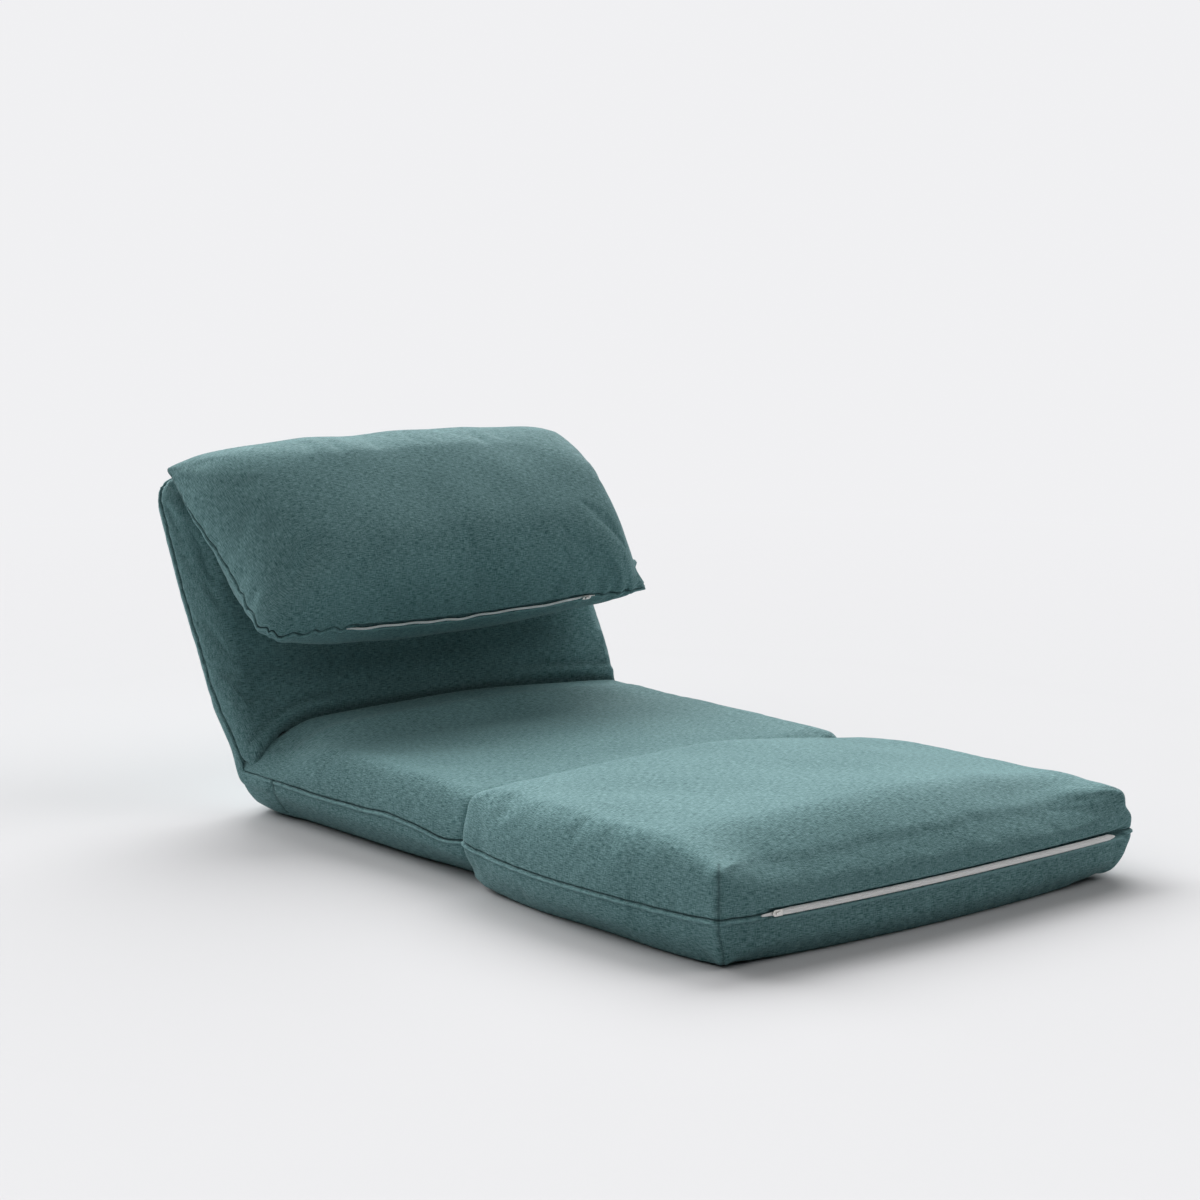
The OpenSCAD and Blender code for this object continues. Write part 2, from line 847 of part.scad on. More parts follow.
// The bottom bulges below its corners and is flat where it lies on the floor
function foot_bottom_skin(d) =
  let (
    bend = foot_bend(-1.6 * foot_lift),
    skin = half_skin(shrink(foot_box, d), foot_lift - seam_z, foot_bottom_draw, foot_corners, bend, [0.6])
  )
  [for (ring = skin)
    [for (p = ring) [p[0], p[1], p[2] < seam_z ? max(d, p[2] + d * (seam_z - p[2]) / seam_z) : p[2]]]];

module foot_top_cover() {
  color(teal)
    shell(foot_top_skin(0), foot_top_skin(cover_t), true);
}

module foot_bottom_cover() {
  color(teal_dark)
    shell(foot_bottom_skin(0), foot_bottom_skin(cover_t), false);
}

module foot_foam() {
  rear_in = foot_bottom_draw[2] + cover_t;
  bottom = foot_lift + skin_gap;
  color(foam_color)
    translate([-foot_w / 2 + foot_foam_in, foot_front_y + foot_foam_in, bottom])
      cube([foot_w - 2 * foot_foam_in, foot_len - foot_foam_in - rear_in, foot_foam_top - bottom]);
}

// Wadding between the flat foam and the crowned top cover
module foot_wadding() {
  bottom = foot_foam_top + soft_gap;
  half_w = foot_w / 2 + foot_side_swell;
  color(wadding_color)
    intersection() {
      ring_solid(concat([[[0, foot_mid_y, seam_z]]], foot_top_skin(skin_gap)), 0);
      translate([-half_w, foot_front_y - foot_front_swell, bottom])
        cube([2 * half_w, foot_len + foot_front_swell, foot_crown + foot_edge_h - bottom]);
    }
}

// Fabric that joins the foot cushion to the seat, hanging in the gap below the fold
module foot_hinge_strap() {
  t = fold_gap - 2 * metal_gap;
  half_w = seat_w / 2 - foot_strap_in;
  color(teal_dark)
    translate([-half_w, -seat_len / 2 - t / 2, seam_z + foot_strap_edge])
      cube([2 * half_w, t, fold_z - seam_z - 2 * foot_strap_edge]);
}

// A band that follows the foot cushion's front, from x = -left to x = right
module front_band(left, right, r, t, h) {
  a0 = asin(left / foot_arc_r);
  a1 = asin(right / foot_arc_r);
  translate([0, foot_arc_y, seam_z - h / 2])
    rotate([0, 0, -90 - a0])
      rotate_extrude(angle = a0 + a1, $fn = 720)
        translate([r, 0])
          square([t, h]);
}

module foot_zip() {
  color(zip_color)
    front_band(foot_zip_left, foot_zip_right, foot_arc_r + soft_gap, zip_t, zip_w);
}

// Zip slider lying flat, its length along x, with two wings, a bridge and a hole
module slider() {
  w = zip_w - 2;
  wing = 1.2;
  difference() {
    union() {
      translate([-slider_len / 2 + w / 2, -w / 2, 0])
        cube([slider_len - w / 2, w, wing]);
      translate([-slider_len / 2 + w / 2, 0, 0])
        cylinder(r = w / 2, h = wing, $fn = 32);
      translate([-slider_len / 2 + w / 2, -1.5, wing])
        cube([slider_len - w, 3, 2]);
    }
    translate([-slider_len / 2 + w / 2 + 2.5, 2, wing + 0.9])
      rotate([90, 0, 0])
        cylinder(r = 0.6, h = 4, $fn = 24);
  }
}

module foot_zip_slider() {
  a = asin((foot_zip_left - slider_len) / foot_arc_r);
  color(plate_color)
    translate([0, foot_arc_y, seam_z])
      rotate([0, 0, -a])
        translate([0, -foot_arc_r - zip_t - 2 * soft_gap, 0])
          rotate([90, 0, 0])
            slider();
}

/* Pillow, drawn flat with its hinge at y = 0, its length towards -y and z out of its front */

module at_pillow() {
  at_back()
    translate([0, back_len + pillow_rise, pillow_out])
      rotate([-pillow_tilt, 0, 0])
        children();
}

pillow_box = [-pillow_w / 2, pillow_w / 2, -pillow_len, -0.5];

function pillow_bend(crown) = function (p, share)
  let (x = 2 * p[0] / pillow_w, y = 1 + 2 * p[1] / pillow_len)
  [p[0], p[1], p[2] + crown * share * max(0, 1 - x * x) * max(0, 1 - y * y)];

// Depth of the pillow's rear at a distance from its hinge: it lies on the slope at the
// back's top, then along the back's front, and is full towards the bottom seam
function pillow_depth(t) =
  let (to_back = (pillow_out + t * sin(pillow_tilt) - back_front - back_crown) / cos(pillow_tilt))
  min(pillow_rear, max(pillow_lie, to_back - facet_gap));

function pillow_rear_bend(d) = function (p, share) [p[0], p[1], -share * (pillow_depth(-p[1]) - d)];

function pillow_front_skin(d) =
  half_skin(shrink(pillow_box, d), pillow_front - d, pillow_front_draw, pillow_corners,
    pillow_bend(pillow_crown));

function pillow_rear_skin(d, inner = [0.27]) =
  half_skin(shrink(pillow_box, d), 0, pillow_rear_draw, pillow_corners, pillow_rear_bend(d), inner);

module pillow_front_cover() {
  color(teal)
    at_pillow()
      shell(pillow_front_skin(0), pillow_front_skin(pillow_cover_t), true);
}

module pillow_rear_cover() {
  color(teal_dark)
    at_pillow()
      shell(pillow_rear_skin(0), pillow_rear_skin(pillow_cover_t), false);
}

// The fill leaves out the skin's second ring and its crown's rings, whose faces would
// only repeat the cover's
module pillow_fill() {
  d = pillow_cover_t + soft_gap;
  top = pillow_front_skin(d);
  bottom = pillow_rear_skin(d);
  color(wadding_color)
    at_pillow()
      ring_solid(concat(reversed(bottom), [for (k = [2 : edge_steps]) top[k]], [top[len(top) - 1]]),
        len(bottom) - 2);
}

module pillow_zip() {
  color(zip_color)
    at_pillow()
      translate([-pillow_zip_left, pillow_box[2] - soft_gap - zip_t, -zip_w / 2])
        cube([pillow_zip_left + pillow_zip_right, zip_t, zip_w]);
}

module pillow_zip_slider() {
  color(plate_color)
    at_pillow()
      translate([pillow_zip_right - slider_len, pillow_box[2] - zip_t - 2 * soft_gap, 0])
        rotate([90, 0, 0])
          mirror([1, 0, 0])
            slider();
}

// Strip of fabric from the back's top seam to the pillow's hinge
module pillow_hinge_strip() {
  t = 1;
  half_w = seat_w / 2 - pillow_strip_in;
  length = norm([pillow_rise, pillow_out]) - pillow_strip_gap - pillow_strip_end_gap;
  color(teal_dark)
    at_back()
      translate([-half_w, back_len + soft_gap, 0])
        rotate([atan2(pillow_out, pillow_rise), 0, 0])
          translate([0, pillow_strip_gap, -t / 2])
            cube([2 * half_w, length, t]);
}

/* Parts */

seat_frame_tube();
seat_cross_tubes();
seat_webbing();
seat_frame_rivets();
seat_foam_top();
seat_foam_bottom();
seat_top_cover();
seat_bottom_cover();
seat_base_cloth();
ratchet_cheeks(-1);  // ratchet_cheeks_left
ratchet_cheeks(1);  // ratchet_cheeks_right
ratchet_pawl(-1);  // ratchet_pawl_left
ratchet_pawl(1);  // ratchet_pawl_right
ratchet_rivet(-1);  // ratchet_rivet_left
ratchet_rivet(1);  // ratchet_rivet_right
foot_hinge_strap();
back_frame_tube();
back_cross_tubes();
back_webbing();
back_frame_rivets();
back_foam_front();
back_foam_rear();
back_front_cover();
back_rear_cover();
ratchet_sector(-1);  // ratchet_sector_left
ratchet_sector(1);  // ratchet_sector_right
pillow_hinge_strip();
foot_foam();
foot_wadding();
foot_top_cover();
foot_bottom_cover();
foot_zip();
foot_zip_slider();
pillow_fill();
pillow_front_cover();
pillow_rear_cover();
pillow_zip();
pillow_zip_slider();
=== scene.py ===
"""Multi-position floor chair in teal melange fabric: seat, reclining back, foot cushion
and head pillow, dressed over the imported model. All sizes are in metres."""
import json
import math

import bmesh
import bpy
import numpy as np
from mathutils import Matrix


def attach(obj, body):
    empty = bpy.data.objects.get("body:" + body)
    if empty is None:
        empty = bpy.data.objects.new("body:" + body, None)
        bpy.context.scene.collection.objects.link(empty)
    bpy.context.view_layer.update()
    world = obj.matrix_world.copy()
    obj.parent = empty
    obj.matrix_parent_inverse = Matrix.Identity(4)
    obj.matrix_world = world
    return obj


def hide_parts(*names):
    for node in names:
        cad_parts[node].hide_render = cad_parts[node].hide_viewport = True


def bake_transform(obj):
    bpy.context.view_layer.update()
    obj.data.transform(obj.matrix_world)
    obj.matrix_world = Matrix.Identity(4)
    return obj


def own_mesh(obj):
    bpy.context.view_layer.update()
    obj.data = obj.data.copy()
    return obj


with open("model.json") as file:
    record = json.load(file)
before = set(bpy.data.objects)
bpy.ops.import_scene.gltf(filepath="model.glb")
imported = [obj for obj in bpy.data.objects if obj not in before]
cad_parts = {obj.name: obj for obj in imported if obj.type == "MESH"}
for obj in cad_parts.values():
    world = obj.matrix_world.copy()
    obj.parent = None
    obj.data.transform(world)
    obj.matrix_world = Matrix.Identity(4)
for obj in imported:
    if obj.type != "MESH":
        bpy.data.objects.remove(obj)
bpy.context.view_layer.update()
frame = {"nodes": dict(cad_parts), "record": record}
scene = bpy.context.scene
scene.view_settings.view_transform = "Standard"

# Sizes shared with the part's source
SEAT_HALF, SEAT_H, SEAM_Z, AXIS_Y = 0.350, 0.116, 0.062, 0.270
SEAT_FRONT, FOOT_REAR = -0.2695, -0.2705
NOSE_R, SOCKET_R = 0.054, 0.0555
BACK_LEN, BACK_ANGLE, BACK_FRONT, BACK_REAR = 0.460, math.radians(63), 0.034, 0.030
FOOT_HALF, FOOT_LEN, FOOT_FRONT = 0.361, 0.510, -0.7805
FOOT_ARC_R, FOOT_ARC_Y = 3.629, 2.8305
PILLOW_HALF, PILLOW_LEN = 0.358, 0.349
PILLOW_TILT, PILLOW_RISE, PILLOW_OUT = math.radians(24.5), 0.010, 0.013


# Camera

CAMERA_AT, CAMERA_TURN, CAMERA_DIP = (-2.658, -3.371, 1.022), 0.6849, 0.1638
# Both in millimetres
CAMERA_LENS, SENSOR = 90.39, 36


def place_camera():
    """The camera, as it was fitted to the photograph's straight seams."""
    data = bpy.data.cameras.new("camera")
    data.sensor_width = SENSOR
    data.lens = CAMERA_LENS
    camera = bpy.data.objects.new("camera", data)
    camera.location = CAMERA_AT
    camera.rotation_euler = (math.pi / 2 - CAMERA_DIP, 0, -CAMERA_TURN)
    scene.collection.objects.link(camera)
    scene.camera = camera


# Shader maths

class Value:
    """A socket's output, on which Python's operators add Math nodes."""

    def __init__(self, finish, socket):
        self.finish, self.socket = finish, socket

    def math(self, operation, *others):
        values = dict(enumerate((self, *others)))
        return self.finish.add("ShaderNodeMath", {"operation": operation}, values)

    def __add__(self, other):
        return self.math("ADD", other)

    def __sub__(self, other):
        return self.math("SUBTRACT", other)

    def __mul__(self, other):
        return self.math("MULTIPLY", other)

    def __truediv__(self, other):
        return self.math("DIVIDE", other)

    def __rsub__(self, other):
        return self.finish.add("ShaderNodeMath", {"operation": "SUBTRACT"}, {0: other, 1: self})

    __radd__ = __add__
    __rmul__ = __mul__

    def clamped(self):
        return self.finish.add("ShaderNodeClamp", {}, {0: self})


class Finish:
    """A material, or the world, that is built node by node."""

    def __init__(self, name, world=None):
        self.owner = world or bpy.data.materials.new(name)
        self.owner.use_nodes = True
        self.tree = self.owner.node_tree
        self.tree.nodes.clear()

    def add(self, kind, settings, values, output=0):
        """Adds a node of that kind: settings first, then its sockets' values or links."""
        node = self.tree.nodes.new(kind)
        for key, setting in settings.items():
            setattr(node, key, setting)
        for key, value in values.items():
            if isinstance(value, Value):
                self.tree.links.new(value.socket, node.inputs[key])
            else:
                node.inputs[key].default_value = value
        return Value(self, node.outputs[output]) if node.outputs else None

    def mix(self, share, a, b):
        """Colours a and b, mixed."""
        a, b = ((*c, 1) if isinstance(c, tuple) else c for c in (a, b))
        return self.add("ShaderNodeMix", {"data_type": "RGBA"}, {0: share, 6: a, 7: b}, 2)

    def stretched(self, source, size):
        """A vector, scaled on each axis."""
        return self.add("ShaderNodeMapping", {}, {"Vector": source, "Scale": size})

    def noise(self, where, scale=1, detail=2, rough=0.5, flat=False):
        """Noise in space, or flat on a UV map."""
        settings = {"noise_dimensions": "2D" if flat else "3D"}
        values = {"Vector": where, "Scale": scale, "Detail": detail, "Roughness": rough}
        return self.add("ShaderNodeTexNoise", settings, values)

    def surface(self, **values):
        """The Principled shader on the surface's output."""
        names = {key.replace("_", " "): value for key, value in values.items()}
        shader = self.add("ShaderNodeBsdfPrincipled", {}, names)
        self.add("ShaderNodeOutputMaterial", {}, {"Surface": shader})
        return self.owner


# Finishes

# Slubs and flecks per metre along and across the cloth
WEFT, WARP, FLECK = (95, 950, 1), (950, 125, 1), (150, 1150, 1)


def fabric(name, dark, light):
    """Melange weave: slubs along both thread directions, drawn on the weave map."""
    f = Finish(name)
    cloth = f.add("ShaderNodeUVMap", {"uv_map": "weave"}, {})
    weft = f.noise(f.stretched(cloth, WEFT), flat=True)
    warp = f.noise(f.stretched(cloth, WARP), flat=True)
    fleck = f.noise(f.stretched(cloth, FLECK), detail=1, flat=True)
    patch = f.noise(cloth, scale=7, flat=True)
    threads = (weft * 0.6 + warp * 0.4 - 0.5) * 2.8 + 0.5
    bright = ((fleck - 0.62) * 6).clamped()
    tone = (threads * 0.9 + bright * 0.45 + (patch - 0.5) * 0.25).clamped()
    # The shade attribute paints light and shade into the colour: above 0 it mixes in painted shade for
    # seams, creases and corners, below 0 a painted highlight for welts and hems.
    shade = f.add("ShaderNodeAttribute", {"attribute_name": "shade"}, {}, 2)
    painted_shade_color, wear_and_highlight = tuple(0.32 * c for c in dark), tuple(1.25 * c for c in light)
    color = f.mix(tone, dark, light)
    color = f.mix(shade.clamped(), color, painted_shade_color)
    # Painted highlight: a lighter colour where the shade attribute is below 0, on welts and hems.
    color = f.mix((shade * -1).clamped(), color, wear_and_highlight)
    height = threads * 0.8 + fleck * 0.4
    bump = f.add("ShaderNodeBump", {}, {"Strength": 0.3, "Distance": 0.0005, "Height": height})
    return f.surface(
        Base_Color=color, Roughness=0.93 - tone * 0.12, Normal=bump,
        Sheen_Weight=0.12, Sheen_Roughness=0.42, Sheen_Tint=(0.82, 0.97, 1.0, 1),
        Specular_IOR_Level=0.12)


def metal(name, color, rough):
    """Plated or coated metal with fine brushing and a few worn spots."""
    f = Finish(name)
    where = f.add("ShaderNodeTexCoord", {}, {}, 3)
    brushing = f.noise(f.stretched(where, (60, 1400, 1400)), detail=3, rough=0.6)
    wear_and_highlight = f.noise(where, scale=90, detail=4, rough=0.6)
    dull = tuple(0.72 * c for c in color)
    bump = f.add("ShaderNodeBump", {}, {"Strength": 0.15, "Distance": 0.0002, "Height": brushing})
    return f.surface(
        Base_Color=f.mix(wear_and_highlight, dull, color), Metallic=1.0,
        Roughness=(rough + (brushing - 0.5) * 0.2).clamped(), Normal=bump)


def plain_cloth(name, dark, light, pitch):
    """Plain cloth, tape or fibre: fine grain on object coordinates."""
    f = Finish(name)
    where = f.add("ShaderNodeTexCoord", {}, {}, 3)
    grain = f.noise(where, pitch, rough=0.7)
    bump = f.add("ShaderNodeBump", {}, {"Strength": 0.3, "Distance": 0.0003, "Height": grain})
    return f.surface(
        Base_Color=f.mix(grain, dark, light), Roughness=0.9 - grain * 0.1, Normal=bump,
        Specular_IOR_Level=0.3)


# Floor and light

PALE = (0.874, 0.874, 0.890, 1)
# Each sun's energy, its height, and how far round it stands from straight behind the
# chair towards the chair's left, in degrees
SUNS = {
    "key_behind": (2.8, 34, -4),
    "key_left": (3.2, 38, 42),
    "key_right": (0.5, 40, -40),
    "fill_front": (0.9, 42, 120),
    "fill_right": (0.35, 45, -90),
}
SUN_WIDTH = math.radians(42)


def make_floor():
    """A floor that takes the object's shadow and fades into the pale backdrop."""
    f = Finish("floor")
    plain_r, fade, end = 1.3, 2.0, 90
    near = f.add("ShaderNodeBsdfDiffuse", {}, {"Color": (0.565, 0.565, 0.575, 1)})
    far = f.add("ShaderNodeEmission", {}, {"Color": PALE})
    where = f.add("ShaderNodeTexCoord", {}, {}, 3)
    away = f.add("ShaderNodeVectorMath", {"operation": "LENGTH"}, {0: where}, 1)
    faded = ((away - plain_r) / fade).clamped()
    both = f.add("ShaderNodeMixShader", {}, {0: faded, 1: near, 2: far})
    f.add("ShaderNodeOutputMaterial", {}, {"Surface": both})
    mesh = bpy.data.meshes.new("floor")
    corners = [(-end, -end, 0), (end, -end, 0), (end, end, 0), (-end, end, 0)]
    mesh.from_pydata(corners, [], [(0, 1, 2, 3)])
    mesh.materials.append(f.owner)
    floor = bpy.data.objects.new("floor", mesh)
    scene.collection.objects.link(floor)


def make_light():
    """Broad low keys from behind, and weak ones that fill the front and the chair's right;
    the pale floor fills the rest."""
    world = bpy.data.worlds.new("studio")
    scene.world = world
    f = Finish("studio", world)
    to_camera = f.add("ShaderNodeLightPath", {}, {})
    lit = f.add("ShaderNodeBackground", {}, {"Color": (1, 1, 1, 1), "Strength": 0.02})
    seen = f.add("ShaderNodeBackground", {}, {"Color": PALE, "Strength": 1.0})
    both = f.add("ShaderNodeMixShader", {}, {0: to_camera, 1: lit, 2: seen})
    f.add("ShaderNodeOutputWorld", {}, {"Surface": both})
    for name, (energy, height, azimuth) in SUNS.items():
        sun = bpy.data.lights.new(name, "SUN")
        sun.angle = SUN_WIDTH
        sun.energy = energy
        lamp = bpy.data.objects.new(name, sun)
        lamp.rotation_euler = (math.radians(height - 90), 0, math.radians(-azimuth))
        scene.collection.objects.link(lamp)


# Soft forms

def ripple(x, y, seed, lengths, count=7):
    """Smooth seeded unevenness between about -1 and 1, as a sum of waves."""
    rng = np.random.default_rng(seed)
    total = np.zeros(np.shape(x))
    for _ in range(count):
        way, phase = rng.uniform(0, 2 * math.pi, 2)
        k = 2 * math.pi / rng.uniform(*lengths)
        total += np.sin(k * (np.cos(way) * x + np.sin(way) * y) + phase)
    return total / math.sqrt(count)


def ellipse(depth, h):
    """Inset at height z of a wall that is a quarter ellipse."""
    return lambda z: depth * (1 - np.sqrt(np.maximum(0, 1 - (z / h) ** 2)))


def soft_box(lean, across, down, swell, h):
    """Inset of a wall that leans in, swells at half height and ends in a soft edge."""
    def inset(z):
        wall = np.minimum(z, h - down) / (h - down)
        edge = np.clip((z - (h - down)) / down, 0, 1)
        return lean * wall - swell * np.sin(math.pi * wall) + across * (1 - np.sqrt(1 - edge ** 2))
    return inset


def upright(z):
    """Inset of a straight wall."""
    return 0 * z


# Shares of its height at which a cushion's wall has its rings, closest at seam and edge
WALL = np.array([0, 0.018, 0.04, 0.07, 0.11, 0.17, 0.25, 0.34, 0.44, 0.54, 0.64, 0.735, 0.82, 0.89,
                 0.94, 0.975, 0.995, 1.0])
# Kinds of panel: a wall at front or rear, a wall at a side, the top
END_WALL, SIDE_WALL, TOP_PANEL = range(3)
# What each point of a cushion keeps of its place: distance from the seam, distance along
# it, and 1 at an upright corner and on the front wall
MARKS = ("seam", "along", "corner", "front")


def plan_point(fx, fy, box, radii):
    """Place of a share (fx, fy) of a box, whose corners are rounded at front and rear."""
    x0, x1, y0, y1 = box
    x, y = x0 + (x1 - x0) * fx, y0 + (y1 - y0) * fy
    cx, cy, a, b = (x0 + x1) / 2, (y0 + y1) / 2, (x1 - x0) / 2, (y1 - y0) / 2
    r = np.where(y < cy, radii[0], radii[1])
    vx, vy = np.abs(x - cx) - (a - r), np.abs(y - cy) - (b - r)
    both = (vx > 0) & (vy > 0)
    far = np.maximum(np.hypot(vx, vy), 1e-9)
    k = np.where(both, np.maximum(vx, vy) / far, 1)
    nx = np.where(both, a - r + vx * k, np.abs(x - cx))
    ny = np.where(both, b - r + vy * k, np.abs(y - cy))
    return cx + np.sign(x - cx) * nx, cy + np.sign(y - cy) * ny


class Half:
    """Half a cushion as a quad mesh: walls from the seam up to a top grid. The insets are
    those of sides, front and rear, and bend moves each point from the plain box."""

    def __init__(self, box, h, insets, radii, bend, cells, top_radius=None):
        nu, nv = cells
        sides, front, rear = insets
        along = ([(i / nu, 0) for i in range(nu)] + [(1, j / nv) for j in range(nv)]
                 + [(1 - i / nu, 1) for i in range(nu)] + [(0, 1 - j / nv) for j in range(nv)])
        fx, fy = np.array(along).T
        n = len(along)
        points, seam, flat = [], [], []
        width, depth = box[1] - box[0], box[3] - box[2]
        lap = np.where((fy == 0) | (fy == 1), fx * width, fy * depth)
        walk = np.zeros(n)
        for k, f in enumerate(WALL):
            z = abs(h) * f
            edge = [box[0] + sides(z), box[1] - sides(z), box[2] + front(z), box[3] - rear(z)]
            corners = radii if top_radius is None else [r + (top_radius - r) * f for r in radii]
            x, y = plan_point(fx, fy, edge, corners)
            p = bend(x, y, np.full(n, h * f), np.full(n, f))
            if k:
                walk = walk + np.linalg.norm(p - points[-1], axis=1)
            points.append(p)
            seam.append(walk)
            flat.append(lap)
        gx, gy = np.meshgrid(np.arange(1, nu) / nu, np.arange(1, nv) / nv, indexing="ij")
        x, y = plan_point(gx.ravel(), gy.ravel(), edge, corners)
        inner = bend(x, y, np.full(x.size, float(h)), np.ones(x.size))
        to_ends = [gy * depth / width, (1 - gy) * depth / width]
        reach = np.minimum.reduce([gx, 1 - gx, *to_ends]).ravel() * width
        self.points = np.vstack(points + [inner])
        self.seam = np.concatenate(seam + [reach + walk.mean()])
        self.along = np.concatenate(flat + [gx.ravel() * width])
        self.n, self.levels, self.nu, self.nv = n, len(WALL), nu, nv
        corner = np.zeros(n)
        corner[[0, nu, nu + nv, 2 * nu + nv]] = 1
        self.corner = np.concatenate([np.tile(corner, self.levels), np.zeros(inner.shape[0])])
        self.front = np.concatenate([np.tile((fy == 0) * 1.0, self.levels), np.zeros(inner.shape[0])])
        self.flip = h < 0
        self._faces()

    def _faces(self):
        """Faces of walls and top, and the kind of panel each belongs to."""
        n, nu, nv, top = self.n, self.nu, self.nv, (self.levels - 1) * self.n
        faces, panel = [], []
        for k in range(self.levels - 1):
            for i in range(n):
                j = (i + 1) % n
                faces.append((k * n + i, k * n + j, (k + 1) * n + j, (k + 1) * n + i))
                panel.append(END_WALL if i < nu or nu + nv <= i < 2 * nu + nv else SIDE_WALL)

        def at(i, j):
            """Number of the top grid's point in column i and row j."""
            if j == 0:
                return top + i
            if i == nu:
                return top + nu + j
            if j == nv:
                return top + nu + nv + (nu - i)
            if i == 0:
                return top + (2 * nu + nv + (nv - j)) % n
            return self.levels * n + (i - 1) * (nv - 1) + (j - 1)

        for i in range(nu):
            for j in range(nv):
                faces.append((at(i, j), at(i + 1, j), at(i + 1, j + 1), at(i, j + 1)))
                panel.append(TOP_PANEL)
        self.faces = [f[::-1] for f in faces] if self.flip else faces
        self.panel = panel

    def weave(self):
        """Weave map in metres, one value per face corner, the walls beside the top."""
        out = []
        for face, kind in zip(self.faces, self.panel):
            for v in face:
                x, y = self.points[v][:2]
                drop = self.seam[v]
                out.append({END_WALL: (x, drop + 3), SIDE_WALL: (y, drop + 6), TOP_PANEL: (x, y)}[kind])
        return out


def link_mesh(name, points, faces):
    """A smooth-shaded piece in the scene."""
    mesh = bpy.data.meshes.new(name)
    mesh.from_pydata([tuple(p) for p in points], [], faces)
    mesh.polygons.foreach_set("use_smooth", [True] * len(mesh.polygons))
    piece = bpy.data.objects.new(name, mesh)
    scene.collection.objects.link(piece)
    return piece


def plain_mesh(piece):
    """Turns a piece with its modifiers into a plain mesh."""
    bpy.context.view_layer.update()
    ready = piece.evaluated_get(bpy.context.evaluated_depsgraph_get())
    mesh = bpy.data.meshes.new_from_object(ready)
    piece.modifiers.clear()
    old, piece.data = piece.data, mesh
    bpy.data.meshes.remove(old)


def read(mesh, name, size=1):
    """A mesh's places, normals or values of an attribute, as an array."""
    out = np.zeros(len(mesh.vertices) * size)
    if name == "co":
        mesh.vertices.foreach_get("co", out)
    elif name == "normal":
        mesh.vertex_normals.foreach_get("vector", out)
    else:
        mesh.attributes[name].data.foreach_get("value", out)
    return out.reshape(-1, size) if size > 1 else out


def store(mesh, name, values):
    """Writes one value a point as an attribute."""
    made = mesh.attributes.new(name, "FLOAT", "POINT")
    made.data.foreach_set("value", np.asarray(values, np.float32))


AIR_PRESSURE, AIR_FRAMES, PINNED = 4.0, 20, 0.012


def inflate(halves, held, slack, cap):
    """Fills sewn halves with air for a moment, so that the fabric settles as cloth does. The
    seam and what is held stay, and no point moves further than cap."""
    first, second = halves
    offset = len(first.points)
    n = first.n
    points = np.vstack([first.points, second.points[n:]])
    join = list(first.faces)
    join += [tuple(v if v < n else v - n + offset for v in f) for f in second.faces]
    piece = link_mesh("air", points, join)
    group = piece.vertex_groups.new(name="held")
    seam = np.concatenate([first.seam, second.seam[n:]])
    weights = np.clip(np.maximum(held(points), 1 - seam / PINNED), 0, 1)
    for tenths in range(1, 11):
        inside = np.flatnonzero(np.round(weights * 10) == tenths)
        if len(inside):
            group.add(inside.tolist(), tenths / 10, "REPLACE")
    cloth = piece.modifiers.new("cloth", "CLOTH")
    settings = cloth.settings
    settings.quality = 5
    settings.mass = 0.3
    settings.tension_stiffness = settings.compression_stiffness = 20
    settings.shear_stiffness = 8
    settings.bending_stiffness = 0.4
    settings.vertex_group_mass = "held"
    settings.use_pressure = True
    settings.uniform_pressure_force = AIR_PRESSURE
    settings.shrink_min = -slack
    settings.effector_weights.gravity = 0
    cloth.collision_settings.use_collision = False
    for number in range(1, AIR_FRAMES + 1):
        scene.frame_set(number)
    ready = piece.evaluated_get(bpy.context.evaluated_depsgraph_get())
    new = np.zeros(len(points) * 3)
    ready.data.vertices.foreach_get("co", new)
    moved = new.reshape(-1, 3) - points
    far = np.linalg.norm(moved, axis=1, keepdims=True)
    new = points + moved * np.minimum(1, cap / np.maximum(far, 1e-9))
    bpy.data.objects.remove(piece)
    scene.frame_set(1)
    first.points = new[:offset]
    second.points = np.vstack([new[:n], new[offset:]])


def dress(half, name, finish, body, replaced, rework, place=None):
    """Turns half a cushion into a finished piece on its body. The rework moves the finer
    points and says how dark each is, and the place turns and shifts the piece."""
    weave = half.weave()
    piece = link_mesh(name, half.points, half.faces)
    mesh = piece.data
    layer = mesh.uv_layers.new(name="weave")
    layer.data.foreach_set("uv", np.array(weave, np.float32).ravel())
    for mark in MARKS:
        store(mesh, mark, getattr(half, mark))
    finer = piece.modifiers.new("finer", "SUBSURF")
    finer.levels = finer.render_levels = 1
    finer.uv_smooth = "PRESERVE_BOUNDARIES"
    finer.boundary_smooth = "PRESERVE_CORNERS"
    plain_mesh(piece)
    mesh = piece.data
    co, normal = read(mesh, "co", 3), read(mesh, "normal", 3)
    marks = {mark: read(mesh, mark) for mark in MARKS}
    new, shade = rework(co, normal, marks)
    # The shade attribute carries painted shade above 0 and a painted highlight below 0.
    store(mesh, "shade", np.clip(shade, -1, 1))
    if place is not None:
        new = new @ place[0].T + place[1]
    mesh.vertices.foreach_set("co", new.astype(np.float32).ravel())
    mesh.materials.append(finish)
    mesh.update()
    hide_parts(*replaced)
    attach(piece, body)
    return piece


# Distances from the seam to the middle of the welt, the topstitching and a zip's hem
WELT_AT, TOPSTITCH_AT, HEM_AT = 0.0034, 0.0072, 0.0078


